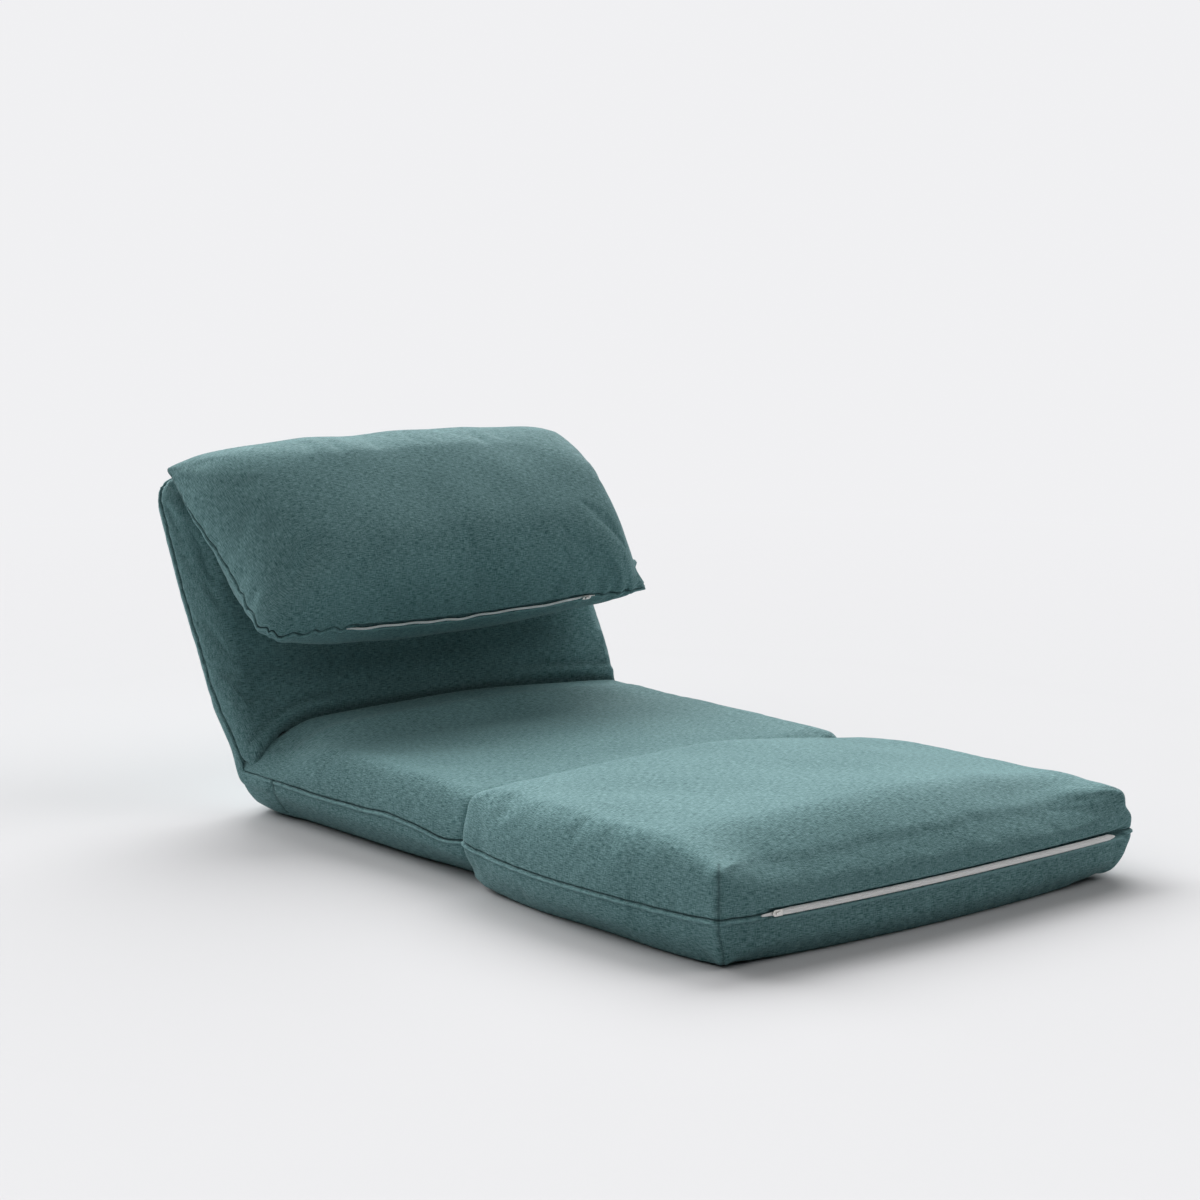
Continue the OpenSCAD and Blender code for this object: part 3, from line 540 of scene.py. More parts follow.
def seam_line(marks, lip, zipped=0):
    """How far a sewn edge moves outwards, and how dark it is. A lip is the rolled welt
    under the seam, with its row of topstitching. Where there is a zip, the edges stand
    open, and the upper one hangs over it."""
    d = marks["seam"]
    tucked = hump(d, 0, 0.0013)
    move = -0.0028 * tucked - 0.0010 * np.exp(-d / 0.005)
    # Painted shade in the groove of the tucked seam.
    dark = 0.5 * tucked
    if lip:
        open_edge = hump(d, 0, 0.0010)
        roll, stitched = hump(d, WELT_AT, 0.0018), hump(d, TOPSTITCH_AT, 0.0012)
        move = 0.0021 * roll - 0.0024 * open_edge - 0.0008 * stitched
        # Painted shade at the open edge and the topstitching, and a painted highlight on the rolled welt.
        dark = 0.5 * open_edge - 0.30 * roll + 0.2 * stitched
    behind = 1 - ramp(d, 0.0045, 0.0059)
    hem = hump(d, HEM_AT, 0.0026)
    open_move = -0.0068 * behind + 0.0014 * hem
    # Painted shade behind the zip's upper edge, and a painted highlight on a lipped hem.
    open_dark = 0.55 * behind - (0.45 * hem if lip else 0)
    return move * (1 - zipped) + open_move * zipped, dark * (1 - zipped) + open_dark * zipped


def darker(dark, more):
    """Adds another line of painted shade to what is there."""
    return dark + more * (1 - dark)


def ramp(value, start, end):
    """0 before the start and 1 past the end, which may lie on either side, with a soft
    step between them."""
    t = np.clip((value - start) / (end - start), 0, 1)
    return t * t * (3 - 2 * t)


def hump(value, middle, spread):
    """A smooth bump of height 1."""
    return np.exp(-((value - middle) / spread) ** 2)


def puckers(marks, seed, size, reach, lengths=(0.018, 0.055), zipped=0):
    """Small gathers that a tight seam makes beside itself, none along a zip."""
    waves = ripple(marks["along"], marks["along"] * 0.3, seed, lengths)
    return waves * size * np.exp(-marks["seam"] / reach) * (1 - zipped)


def along_zip(marks, x, left, right, taper=0.012):
    """1 on the front seam between a zip's ends."""
    return marks["front"] * ramp(x, left, left + 0.03) * ramp(x, right, right - taper)


CREASE_Z = 0.134


def crease_height(x):
    """Height of the crease between seat and back: it bows up in the middle and runs down to
    the hinge line at the chair's right."""
    bowed = CREASE_Z - np.where(x < 0, 0.0045, 0.0064) * (x / 0.2) ** 2
    return bowed - 0.04 * (np.maximum(0, -x - 0.235) / 0.113) ** 1.7


def crease_reach(x):
    """Where the crease lies on the back's flat front panel."""
    return (crease_height(x) - SEAM_Z - BACK_FRONT * math.cos(BACK_ANGLE)) / math.sin(BACK_ANGLE)


def at_sides(x):
    """0 in the middle and 1 at the sides, where the covers run on round the hinge line."""
    return ramp(np.abs(x), 0.285, 0.34)


# Seat

SEAT_CORNERS, SEAT_CELLS, BASE_GAP = (0.024, 0.012), (78, 66), 0.0015
CROSS_SEAM_Y = 0.198


def seat_bend(crown):
    """Puts a seat's half on the seam's height, with a crown in its middle."""
    def bend(x, y, z, share):
        u, v = x / SEAT_HALF, y / AXIS_Y
        rise = crown * share * np.maximum(0, 1 - u * u) * np.maximum(0, 1 - v * v)
        return np.stack([x, y, SEAM_Z + z + rise], 1)
    return bend


def make_seat(finish):
    """The seat's cushion above and below its seam, with the crest at the crease."""
    box = [-SEAT_HALF, SEAT_HALF, SEAT_FRONT, AXIS_Y + NOSE_R]
    up, down = SEAT_H - SEAM_Z, SEAM_Z - BASE_GAP
    top = Half(box, up, (ellipse(0.024, up), ellipse(0.010, up), ellipse(NOSE_R, up)),
               SEAT_CORNERS, seat_bend(0.0015), SEAT_CELLS)
    low = Half(box, -down, (ellipse(0.034, down), ellipse(0.014, down), ellipse(0.070, down)),
               SEAT_CORNERS, seat_bend(0), SEAT_CELLS)

    def held(p):
        y, z = p[:, 1], p[:, 2]
        front, low_half = (y < -0.262) * 0.9, (z < SEAM_Z) * 0.75
        return np.maximum.reduce([(y > 0.2) * 1.0, (z < 0.004) * 1.0, front, low_half])

    inflate((top, low), held, slack=0.004, cap=0.005)

    def shape(co, normal, marks, lip):
        """What top and underside have in common."""
        x, y, z = co.T
        move, dark = seam_line(marks, lip)
        move = move + puckers(marks, 5, 0.0006, 0.02)
        quiet = ramp(marks["seam"], 0, 0.04) * (z > 0.01)
        move = move + ripple(x, y, 3, (0.12, 0.4)) * 0.0009 * quiet
        new = co + normal * move[:, None]
        side = ramp(np.abs(x), 0.3, 0.34) * np.exp(-marks["seam"] / 0.03)
        wave = (0.0036 * hump(y, -0.083, 0.035) - 0.0078 * hump(y, -0.212, 0.042)
                - 0.0022 * hump(y, 0.09, 0.07))
        new[:, 2] += side * wave * (new[:, 2] > 0.01)
        new[:, 1] -= np.maximum(0, y - AXIS_Y) * 0.72 * at_sides(x)
        under = ramp(z, 0.045, 0.01) * ramp(np.abs(x), 0.25, 0.32) * ramp(y, 0.24, 0.16)
        new[:, 0] -= np.sign(x) * (0.012 + 0.007 * ramp(y, -0.08, -0.22)) * under
        return new, dark

    def rework_top(co, normal, marks):
        new, dark = shape(co, normal, marks, False)
        x, y, z = co.T
        tall = (crease_height(x) - SEAM_Z) / (SEAT_H - SEAM_Z) - 1
        crest = np.maximum(0.2512, 0.2397 + 0.454 * crease_reach(x))
        fall = ramp(y - crest, -0.005, 0.013) * (tall > 0)
        new[:, 2] += (new[:, 2] - SEAM_Z) * tall * ramp(y, 0.08, 0.21) * (1 - fall)
        upper = ramp(z, 0.085, 0.105) * ramp(tall, -0.3, 0)
        new[:, 2] -= 0.006 * hump(y, crest + 0.014, 0.010) * upper
        # Painted shade along the crease against the back.
        dark = darker(dark, 0.8 * hump(y, crest + 0.003, 0.0055) * upper)
        return new, dark

    def rework_low(co, normal, marks):
        new, dark = shape(co, normal, marks, True)
        x, y, z = co.T
        cross_seam = hump(y, CROSS_SEAM_Y, 0.0022) * (np.abs(x) > 0.3) * (z > 0.010)
        new[:, 0] -= np.sign(x) * 0.0018 * cross_seam
        new[:, 2] += 0.012 * ramp(y, 0.18, 0.32) * at_sides(x) * (1 - z / SEAM_Z)
        # Painted shade along the short upright seam at each side.
        return new, darker(dark, 0.7 * cross_seam)

    dress(top, "seat_top", finish, "seat", ("seat_top_cover", "seat_foam_top"), rework_top)
    dress(low, "seat_underside", finish, "seat", ("seat_bottom_cover", "seat_foam_bottom"), rework_low)


# Back

def turned(angle, at):
    """Turn about X and shift that place a cushion drawn flat."""
    c, s = math.cos(angle), math.sin(angle)
    return np.array([[1, 0, 0], [0, c, -s], [0, s, c]]), np.array(at)


BACK_PLACE = turned(BACK_ANGLE, (0, AXIS_Y, SEAM_Z))
BACK_EDGE, BACK_CORNERS, BACK_CELLS = 0.022, (0.006, 0.042), (78, 52)


def back_bend(crown):
    """Crowns a back's half and rounds its lower end round the seat's nose."""
    def bend(x, y, z, share):
        u, f = x / SEAT_HALF, np.clip(y / BACK_LEN, 0, 1)
        n = z + crown * share * np.maximum(0, 1 - u * u) * np.sin(math.pi * f)
        r = SOCKET_R - (SOCKET_R - 0.012) * at_sides(x)
        start = np.sqrt(np.maximum(0, r * r - n * n))
        return np.stack([x, start + y * (BACK_LEN - start) / BACK_LEN, n], 1)
    return bend


def back_swell(x, y):
    """How far the back's sides stand out."""
    return np.where(x < 0, 0.0175, 0.008) * ramp(y, 0, 0.15) * (1 - 0.22 * ramp(y, 0.25, 0.45))


def make_back(finish):
    """The back's cushion in front of its seam and behind it, drawn flat and then turned."""
    box = [-SEAT_HALF, SEAT_HALF, 0, BACK_LEN]
    front_edge, rear_edge = ellipse(BACK_EDGE, BACK_FRONT), ellipse(BACK_EDGE, BACK_REAR)
    front = Half(box, BACK_FRONT, (front_edge, upright, ellipse(0.080, BACK_FRONT)),
                 BACK_CORNERS, back_bend(0.006), BACK_CELLS)
    rear = Half(box, -BACK_REAR, (rear_edge, upright, rear_edge),
                BACK_CORNERS, back_bend(-0.002), BACK_CELLS)

    def held(p):
        return np.maximum((p[:, 1] < 0.085) * 1.0, (p[:, 2] < 0) * 0.7)

    inflate((front, rear), held, slack=0.004, cap=0.006)

    def shape(co, normal, marks, lip):
        """What front and rear have in common."""
        x, y = co.T[:2]
        low = ramp(y, 0.05, 0.1)
        sewn = low + (1 - low) * at_sides(x)
        move, dark = seam_line(marks, lip)
        quiet = ramp(marks["seam"], 0, 0.04) * low
        wave = ripple(x, y, 13, (0.1, 0.35)) * 0.0010 * quiet
        new = co + normal * ((wave + (puckers(marks, 15, 0.0006, 0.02) + move) * sewn)[:, None])
        new[:, 0] += np.sign(x) * back_swell(x, y) * ramp(np.abs(x), 0.24, 0.33)
        new[:, 2] -= 0.0045 * np.exp(-marks["seam"] / 0.03) * ramp(y, 0.17, 0.29)
        return new, dark * sewn

    def rework_front(co, normal, marks):
        new, dark = shape(co, normal, marks, False)
        x, y, z = co.T
        on_face = ramp(z, 0.02, 0.032)
        ends = ramp(np.abs(x), 0.12, 0.24)
        line = crease_reach(x)
        fold = line + 0.017
        groove = fold + 0.013
        new[:, 2] -= 0.006 * hump(y, line, 0.010) * on_face * (1 - at_sides(x))
        new[:, 2] += on_face * ends * (0.0035 * hump(y, fold, 0.007) - 0.003 * hump(y, groove, 0.006))
        # Painted shade along the crease and in the groove beside the fold.
        drawn = 0.6 * hump(y, line, 0.0065) + 0.2 * ends * hump(y, groove, 0.005)
        return new, darker(dark, on_face * drawn)

    def rework_rear(co, normal, marks):
        return shape(co, normal, marks, True)

    dress(front, "back_front", finish, "back", ("back_front_cover", "back_foam_front"),
          rework_front, BACK_PLACE)
    dress(rear, "back_rear", finish, "back", ("back_rear_cover", "back_foam_rear"),
          rework_rear, BACK_PLACE)


# Strips and sheets

def steps(line):
    """Distances along a line of points."""
    return np.concatenate([[0], np.cumsum(np.linalg.norm(np.diff(line, axis=0), axis=1))])


def sheet_mesh(name, rows, finish, closed_across=False):
    """A fabric strip through rows of points, with a weave map along its length and width."""
    rows = np.array(rows, float)
    m, n = rows.shape[:2]
    across = n if closed_across else n - 1
    faces, uv = [], []
    ring = np.concatenate([rows, rows[:, :1]], 1) if closed_across else rows
    u, v = steps(rows.mean(1)), steps(ring[m // 2])
    for i in range(m - 1):
        for j in range(across):
            k = (j + 1) % n
            faces.append((i * n + j, (i + 1) * n + j, (i + 1) * n + k, i * n + k))
            uv += [(u[i], v[j]), (u[i + 1], v[j]), (u[i + 1], v[j + 1]), (u[i], v[j + 1])]
    if closed_across:
        faces += [tuple(range(n)), tuple((m - 1) * n + j for j in reversed(range(n)))]
        uv += [(0, 0)] * n * 2
    piece = link_mesh(name, rows.reshape(-1, 3), faces)
    layer = piece.data.uv_layers.new(name="weave")
    layer.data.foreach_set("uv", np.array(uv, np.float32).ravel())
    piece.data.materials.append(finish)
    return piece


def outward(piece):
    """Turns a closed piece's faces outwards."""
    mesh = bmesh.new()
    mesh.from_mesh(piece.data)
    bmesh.ops.recalc_face_normals(mesh, faces=mesh.faces)
    mesh.to_mesh(piece.data)
    mesh.free()


def thicken(piece, thickness):
    """Gives a sheet its thickness, half to each side."""
    thick = piece.modifiers.new("thick", "SOLIDIFY")
    thick.thickness = thickness
    thick.offset = 0
    plain_mesh(piece)
    outward(piece)


# A hinge strip's section: share of its width down from the seam, and how far it stands out
STRIP_SECTION = (
    (0, -0.0035), (0, 0.0), (0.04, 0.0012), (0.12, 0.0018), (0.25, 0.0022), (0.45, 0.0026), (0.65, 0.0024),
    (0.82, 0.0014), (0.94, -0.0006), (1.0, -0.0035), (0.6, -0.0045), (0.3, -0.0045))
STRIP_START, STRIP_END, STRIP_W = -0.072, 0.16, 0.0262


def make_hinge_strips(finish):
    """Side strips that run from under the seat's seam round the hinge and up the back. A
    strip's rings lie at distances t along the seam, counted from the hinge line."""
    c, s = math.cos(BACK_ANGLE), math.sin(BACK_ANGLE)
    for name, side in (("hinge_strip_left", 1), ("hinge_strip_right", -1)):
        rows = []
        for t in np.linspace(STRIP_START, STRIP_END, 59):
            turn = BACK_ANGLE * ramp(t, -0.012, 0.012)
            along = np.array([math.cos(turn), math.sin(turn)])
            if t < 0:
                front = np.array([AXIS_Y + t, SEAM_Z - BASE_GAP])
            else:
                front = np.array([AXIS_Y + c * t, SEAM_Z + s * t]) + 0.001 * np.array([s, -c])
            down = np.array([along[1], -along[0]])
            wide = STRIP_W * ramp(t, -0.075, -0.055) ** 0.5 * (1 - 0.12 * hump(t, 0, 0.03))
            sink = 0.004 * ramp(t, -0.055, STRIP_START) + 0.009 * ramp(t, 0.10, STRIP_END)
            row = []
            for q, out in STRIP_SECTION:
                y, z = front + down * wide * q
                lean = 0.012 * ramp(z, SEAM_Z - 0.012, SEAM_Z - 0.042) * ramp(t, 0.012, -0.018)
                swell = back_swell(side, max(0, t))
                drawn_in = BACK_EDGE * (1 - math.sqrt(max(0, 1 - (q * wide / BACK_REAR) ** 2)))
                swell -= drawn_in * ramp(t, 0, 0.05)
                row.append((side * (SEAT_HALF + out - sink - lean + swell), y, z))
            rows.append(row)
        piece = sheet_mesh(name, rows, finish, True)
        outward(piece)
        finer = piece.modifiers.new("finer", "SUBSURF")
        finer.levels = finer.render_levels = 1
        plain_mesh(piece)
        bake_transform(piece)


# Foot cushion

FOOT_CORNERS, FOOT_CELLS = (0.011, 0.011), (82, 58)
# Its sewn front corners: at the seam, and at the top's and the underside's edge
SEAM_CORNER = (0.361, -0.780, SEAM_Z)
TOP_CORNER, LOW_CORNER = (0.352, -0.770, 0.118), (0.352, -0.770, 0.012)


def foot_bend(crown):
    """Puts a foot cushion's half on the seam's height, with swelling walls and a crown."""
    middle = (FOOT_FRONT + FOOT_REAR) / 2

    def bend(x, y, z, share):
        u, v = x / FOOT_HALF, 2 * (y - middle) / FOOT_LEN
        out_x = u * 0.024 * np.maximum(0, 1 - v * v)
        out_y = 0.018 * np.maximum(0, 1 - u * u) * np.maximum(0, (1 - v) / 2)
        rise = crown * share * (1 - (np.minimum(1, u * u) + np.minimum(1, v ** 4)) / 2)
        return np.stack([x + out_x, y - out_y, np.maximum(0.0003, SEAM_Z + z + rise)], 1)
    return bend


def make_foot(finish):
    """The foot cushion above and below its seam."""
    box = [-FOOT_HALF, FOOT_HALF, FOOT_FRONT, FOOT_REAR]
    up, down = 0.064, 0.052
    wall = soft_box(0.005, 0.020, 0.024, 0.001, up)
    rear_wall = soft_box(0.001, 0.012, 0.014, 0, up)
    low_wall = soft_box(0.014, 0.014, 0.016, 0.003, down)
    low_rear = soft_box(0.006, 0.010, 0.014, 0, down)
    top = Half(box, up, (wall, wall, rear_wall), FOOT_CORNERS, foot_bend(0.024), FOOT_CELLS)
    low = Half(box, -down, (low_wall, low_wall, low_rear), FOOT_CORNERS, foot_bend(-0.016), FOOT_CELLS)

    def held(p):
        at_corner = (np.abs(p[:, 0]) > 0.335) & (p[:, 1] < -0.755)
        return np.maximum.reduce([(p[:, 2] < 0.004) * 1.0, (p[:, 1] > -0.285) * 1.0, at_corner * 1.0])

    inflate((top, low), held, slack=0.006, cap=0.005)

    def shape(co, normal, marks, lip):
        """What top and underside have in common."""
        x, y, z = co.T
        zipped = along_zip(marks, x, -0.298, 0.345)
        move, dark = seam_line(marks, lip, zipped)
        quiet = ramp(marks["seam"], 0, 0.04) * (z > 0.008) * ramp(y, -0.2715, -0.2915)
        uneven = ripple(x, y, 23, (0.12, 0.42)) * 0.0010 * quiet
        move = move + uneven + puckers(marks, 25, 0.0007, 0.022, zipped=zipped)
        sewn = marks["corner"] ** 5 * (y < -0.5)
        move = move - 0.0012 * sewn
        new = co + normal * move[:, None]
        side = ramp(np.abs(x), 0.31, 0.35) * np.exp(-marks["seam"] / 0.03) * (z > 0.008)
        wave = (0.0065 * hump(y, -0.262, 0.035) - 0.003 * hump(y, -0.42, 0.12)
                + 0.002 * hump(y, -0.775, 0.03))
        new[:, 2] += side * wave
        new[:, 0] += np.sign(x) * 0.004 * hump(y, -0.285, 0.03) * hump(z, SEAM_Z, 0.03)
        # Painted shade down the sewn front corners.
        return new, darker(dark, 0.5 * sewn)

    def at_far_corner(x, y):
        """1 at the front corner on the chair's left, and 0 away from it."""
        return ramp(x, 0.25, 0.35) * ramp(y, -0.62, -0.74)

    def peak(new, at, size, spread):
        """Draws a sewn corner out to a small point, at both sides alike."""
        for side in (-1, 1):
            tip = np.array([side * at[0], at[1], at[2]])
            near = np.exp(-(np.linalg.norm(new - tip, axis=1) / spread) ** 2)[:, None]
            new = new + near * np.array([side * size[0], -size[0], size[1]])
        return new

    def round_front(new):
        """Lowers the front edge between its corners, so that the top rolls over it."""
        x, y, z = new.T
        front = FOOT_FRONT - 0.018 * np.maximum(0, 1 - (x / FOOT_HALF) ** 2)
        near = 1 - ramp(y, front, front + 0.13)
        low = 0.38 * near * (1 - 0.65 * ramp(np.abs(x), 0.24, 0.35))
        z = SEAM_Z + (z - SEAM_Z) * (1 - low * ramp(z, SEAM_Z, SEAM_Z + 0.03))
        back_in = 0.012 * ramp(z, 0.085, 0.115) * near ** 3 * (1 - ramp(np.abs(x), 0.25, 0.35))
        return np.stack([x, y + back_in, z], 1)

    def rework_top(co, normal, marks):
        new, dark = shape(co, normal, marks, False)
        new = round_front(new)
        new = peak(new, TOP_CORNER, (0.0035, 0.003), 0.014)
        new = peak(new, (0.335, -0.745, 0.122), (0, 0.003), 0.045)
        new = peak(new, SEAM_CORNER, (0.003, 0), 0.016)
        x, y, z = co.T
        drop = ramp(x, 0.02, 0.36) * ramp(z, 0.085, 0.115)
        kept_up = 0.35 * ramp(y, -0.6, -0.7) + 0.3 * ramp(y, -0.71, -0.76)
        new[:, 2] -= 0.021 * drop * (1 - kept_up)
        bumps = 0.006 * hump(z, 0.080, 0.012) * ramp(y, -0.7, -0.75)
        new[:, 0] += (0.015 + bumps) * at_far_corner(x, y)
        return new, dark

    def rework_low(co, normal, marks):
        new, dark = shape(co, normal, marks, True)
        new = peak(new, LOW_CORNER, (0.004, -0.007), 0.018)
        new = peak(new, SEAM_CORNER, (0.003, 0), 0.016)
        x, y, z = co.T
        lower = ramp(y, -0.6, -0.74) * ramp(z, 0.05, 0.02) * (z > 0.0015)
        new[:, 1] -= 0.009 * lower
        new[:, 2] += (0.005 * ramp(x, 0.25, 0.35) - 0.002) * lower
        round_in = 0.015 + 0.006 * hump(z, 0.046, 0.012) - 0.028 * ramp(z, 0.034, 0.002)
        new[:, 0] += round_in * at_far_corner(x, y)
        near_low = ramp(x, -0.28, -0.33) * ramp(z, 0.03, 0.005)
        new[:, 0] += (0.009 * hump(y, -0.55, 0.10) - 0.003 * hump(y, -0.30, 0.05)) * near_low
        new[:, 2] = np.maximum(new[:, 2], 0.0002)
        return new, dark

    piece = dress(top, "foot_top", finish, "foot", ("foot_top_cover", "foot_foam", "foot_wadding"),
                  rework_top)
    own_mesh(piece)
    dress(low, "foot_underside", finish, "foot", ("foot_bottom_cover",), rework_low)


def make_foot_strap(finish):
    """Hairpin of fabric in the gap between seat and foot cushion, sewn to both."""
    half, low, high, middle, off = 0.29, 0.074, 0.112, -0.27, 0.0003
    fold = (0.6, 1.2, 1.94, 2.54)
    rows = []
    for x in np.linspace(-half, half, 45):
        row = [(x, middle + off, z) for z in np.linspace(low, high, 8)]
        row += [(x, middle + off * math.cos(a), high + 2 * off * math.sin(a)) for a in fold]
        row += [(x, middle - off, z) for z in np.linspace(high, low, 8)]
        rows.append(row)
    piece = sheet_mesh("foot_strap", rows, finish)
    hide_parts("foot_hinge_strap")
    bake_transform(piece)


def make_base_cloth(finish):
    """Non-woven cloth under the seat."""
    x1, y0, y1 = 0.296, -0.2355, 0.230
    rows = []
    for y in np.linspace(y0, y1, 40):
        rows.append([(x, y, 0.0005) for x in np.linspace(-x1, x1, 48)])
    piece = sheet_mesh("base_cloth", rows, finish)
    thicken(piece, 0.0009)
    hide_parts("seat_base_cloth")
    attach(piece, "seat")


# Pillow

PILLOW_PLACE = turned(
    BACK_ANGLE - PILLOW_TILT,
    BACK_PLACE[0] @ np.array([0, BACK_LEN + PILLOW_RISE, PILLOW_OUT]) + BACK_PLACE[1])
# The pillow's sewn corners, with a second point above the lower left one: side, place
# along the side, how wide each is and how far it is drawn out
PILLOW_EARS = (
    (1, -0.338, 0.013, (0.018, -0.012, -0.002)),
    (1, -0.300, 0.011, (0.017, 0.002, 0.006)),
    (-1, 0, 0.015, (-0.004, 0.003, 0)),
    (1, 0, 0.015, (0.006, 0.003, 0)),
)
PUCKER_PITCH = 0.036


def pillow_depth(t):
    """Depth of the pillow's rear at a distance from its hinge, where it lies on the back."""
    to_back = (PILLOW_OUT + t * math.sin(PILLOW_TILT) - BACK_FRONT - 0.006) / math.cos(PILLOW_TILT)
    return np.minimum(0.076, np.maximum(0.002, to_back - 0.001))


def pillow_sag(x):
    """How far the pillow's bottom seam hangs between the zip's ends."""
    return 0.0050 * np.maximum(0, 1 - (x / 0.225) ** 2)


def make_pillow(finish):
    """The pillow's two panels, drawn flat with the hinge at y = 0, and then turned."""
    box = [-PILLOW_HALF, PILLOW_HALF, -PILLOW_LEN, -0.0005]
    corners, cells = (0.034, 0.016), (64, 34)

    def corner_drop(u, v):
        """Share of the height that is left towards the corners."""
        return 1 - 0.25 * np.clip((np.abs(u) - 0.42) / 0.58, 0, 1) * np.clip((np.abs(v) - 0.1) / 0.9, 0, 1)

    def front_bend(x, y, z, share):
        u, v = x / PILLOW_HALF, 1 + 2 * y / PILLOW_LEN
        rise = 0.030 * share * np.maximum(0, 1 - u ** 4) * np.maximum(0, 1 - np.abs(v) ** 2.4)
        return np.stack([x, y, z * corner_drop(u, v) + rise], 1)

    def rear_bend(x, y, z, share):
        u, v = x / PILLOW_HALF, 1 + 2 * y / PILLOW_LEN
        thin = 1 - 0.45 * ramp(np.abs(u), 0.55, 1) * ramp(v, 0, -1)
        return np.stack([x, y, -share * thin * pillow_depth(-y)], 1)

    up = 0.074
    front = Half(box, up, (ellipse(0.066, up), ellipse(0.050, up), ellipse(0.066, up)),
                 corners, front_bend, cells, top_radius=0.075)
    rear = Half(box, -1, (ellipse(0.112, 1), ellipse(0.060, 1), ellipse(0.030, 1)),
                corners, rear_bend, cells)

    def held(p):
        return np.maximum((p[:, 2] < 0.0005) * 0.9, (p[:, 1] > -0.03) * 1.0)

    inflate((front, rear), held, slack=0.008, cap=0.007)

    def ears(new):
        """Sewn corners, drawn out to small points, and sides that pull in between them."""
        x, y, z = new.T
        pulled = 0.008 * hump(y, -0.20, 0.11) * ramp(np.abs(x), 0.2, 0.35)
        pulled = pulled + 0.005 * ramp(x, 0.3, 0.35)
        new = np.stack([x - np.sign(x) * pulled, y, z], 1)
        for side, end, wide, drawn in PILLOW_EARS:
            tip = np.array([side * (PILLOW_HALF - 0.010), end, 0])
            near = np.exp(-(np.linalg.norm(new - tip, axis=1) / wide) ** 2)[:, None]
            new = new + near * np.array(drawn)
        return new

    def lean(new, marks):
        """Unevenness of the filling: fuller at the chair's left, where the crown is lower,
        gathered near the lower right corner, and hanging at the zip."""
        x, y, z = new.T
        upper = ramp(z, 0, 0.03)
        full = (ramp(x, 0.2, 0.32) * ramp(z, 0, 0.065) * ramp(y, 0.01, -0.05)
                * ramp(y, -0.31, -0.12))
        out_x = 0.024 * full - 0.005 * ramp(x, 0.26, 0.34) * ramp(y, -0.21, -0.3)
        out_x = out_x + 0.006 * ramp(x, -0.3, -0.35) * ramp(y, -0.09, -0.02)
        crown = hump(y, -0.09, 0.09) * upper
        out_z = crown * (0.005 * ramp(x, -0.02, -0.22) - 0.008 * ramp(x, 0, 0.2))
        hang = pillow_sag(x) * ramp(y, -0.24, -0.33)
        gathered = ramp(x, -0.17, -0.23) * ramp(y, -0.22, -0.28) * np.exp(-marks["seam"] / 0.022)
        out_z = out_z + 0.0042 * gathered * np.sin(marks["along"] * 2 * math.pi / PUCKER_PITCH)
        return new + np.stack([out_x, -hang, out_z - hang], 1)

    def shape(co, normal, marks, lip):
        """What both panels have in common."""
        x, y = co.T[:2]
        zipped = along_zip(marks, x, -0.222, 0.25, 0.03)
        move, dark = seam_line(marks, lip, 0.8 * zipped)
        quiet = ramp(marks["seam"], 0, 0.05)
        move = 0.8 * move + ripple(x, y, 33, (0.12, 0.35)) * 0.0012 * quiet
        low_corner = ramp(np.abs(x), 0.16, 0.28) * ramp(y, -0.22, -0.32)
        deep = puckers(marks, 36, 0.0026, 0.03, (0.022, 0.05)) * low_corner
        move = move + puckers(marks, 35, 0.0009, 0.02, zipped=zipped) + deep
        return lean(ears(co + normal * move[:, None]), marks), dark

    dress(front, "pillow_front", finish, "pillow", ("pillow_front_cover", "pillow_fill"),
          lambda *given: shape(*given, False), PILLOW_PLACE)
    dress(rear, "pillow_rear", finish, "pillow", ("pillow_rear_cover",),
          lambda *given: shape(*given, True), PILLOW_PLACE)


def make_pillow_strip(finish):
    """Strip of fabric that hangs the pillow from the back's top seam."""
    half, start, reach = 0.30, (0.4605, 0.0005), (0.0092, 0.012)
    turn, shift = BACK_PLACE
    rows = []
    for x in np.linspace(-half, half, 41):
        row = []
        for t in np.linspace(0, 1, 7):
            sag = 0.0012 * math.sin(math.pi * t)
            point = np.array([x, start[0] + reach[0] * t + sag, start[1] + reach[1] * t - sag])
            row.append(turn @ point + shift)
        rows.append(row)
    piece = sheet_mesh("pillow_strip", rows, finish)
    thicken(piece, 0.0010)
    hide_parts("pillow_hinge_strip")
    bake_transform(piece)


# Zips

# Section of a closed zip, as shares of half its width and of its thickness: both tapes,
# each with the ridge of the coil under it
TAPE_SECTION = (
    (-1.0, 0.0), (-0.98, 0.35), (-0.8, 0.5), (-0.55, 0.62), (-0.34, 0.95), (-0.16, 0.95), (-0.04, 0.45),
    (0.04, 0.45), (0.16, 0.95), (0.34, 0.95), (0.55, 0.62), (0.8, 0.5), (0.98, 0.35), (1.0, 0.0),
    (0.5, -0.5), (-0.5, -0.5))
TAPE_T = 0.0012


def zip_tape(name, path, normals, wides, finish, body, replaced, place=None):
    """A closed zip along a path. It leans back a little towards its upper edge."""
    rows = []
    for point, out, wide in zip(path, normals, wides):
        row = []
        for a, b in TAPE_SECTION:
            stands = TAPE_T * b - 0.28 * wide * (1 + a)
            row.append(point + np.array([0, 0, 0.5 * wide * a]) + out * stands)
        rows.append(row)
    rows = np.array(rows)
    if place is not None:
        rows = rows @ place[0].T + place[1]
    piece = sheet_mesh(name, rows, finish, True)
    outward(piece)
    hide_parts(replaced)
    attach(piece, body)


STITCH_SOCKETS = (
    ("Path", "NodeSocketGeometry", "INPUT"), ("Pitch", "NodeSocketFloat", "INPUT"),
    ("Length", "NodeSocketFloat", "INPUT"), ("Thickness", "NodeSocketFloat", "INPUT"),
    ("Finish", "NodeSocketMaterial", "INPUT"), ("Stitches", "NodeSocketGeometry", "OUTPUT"))


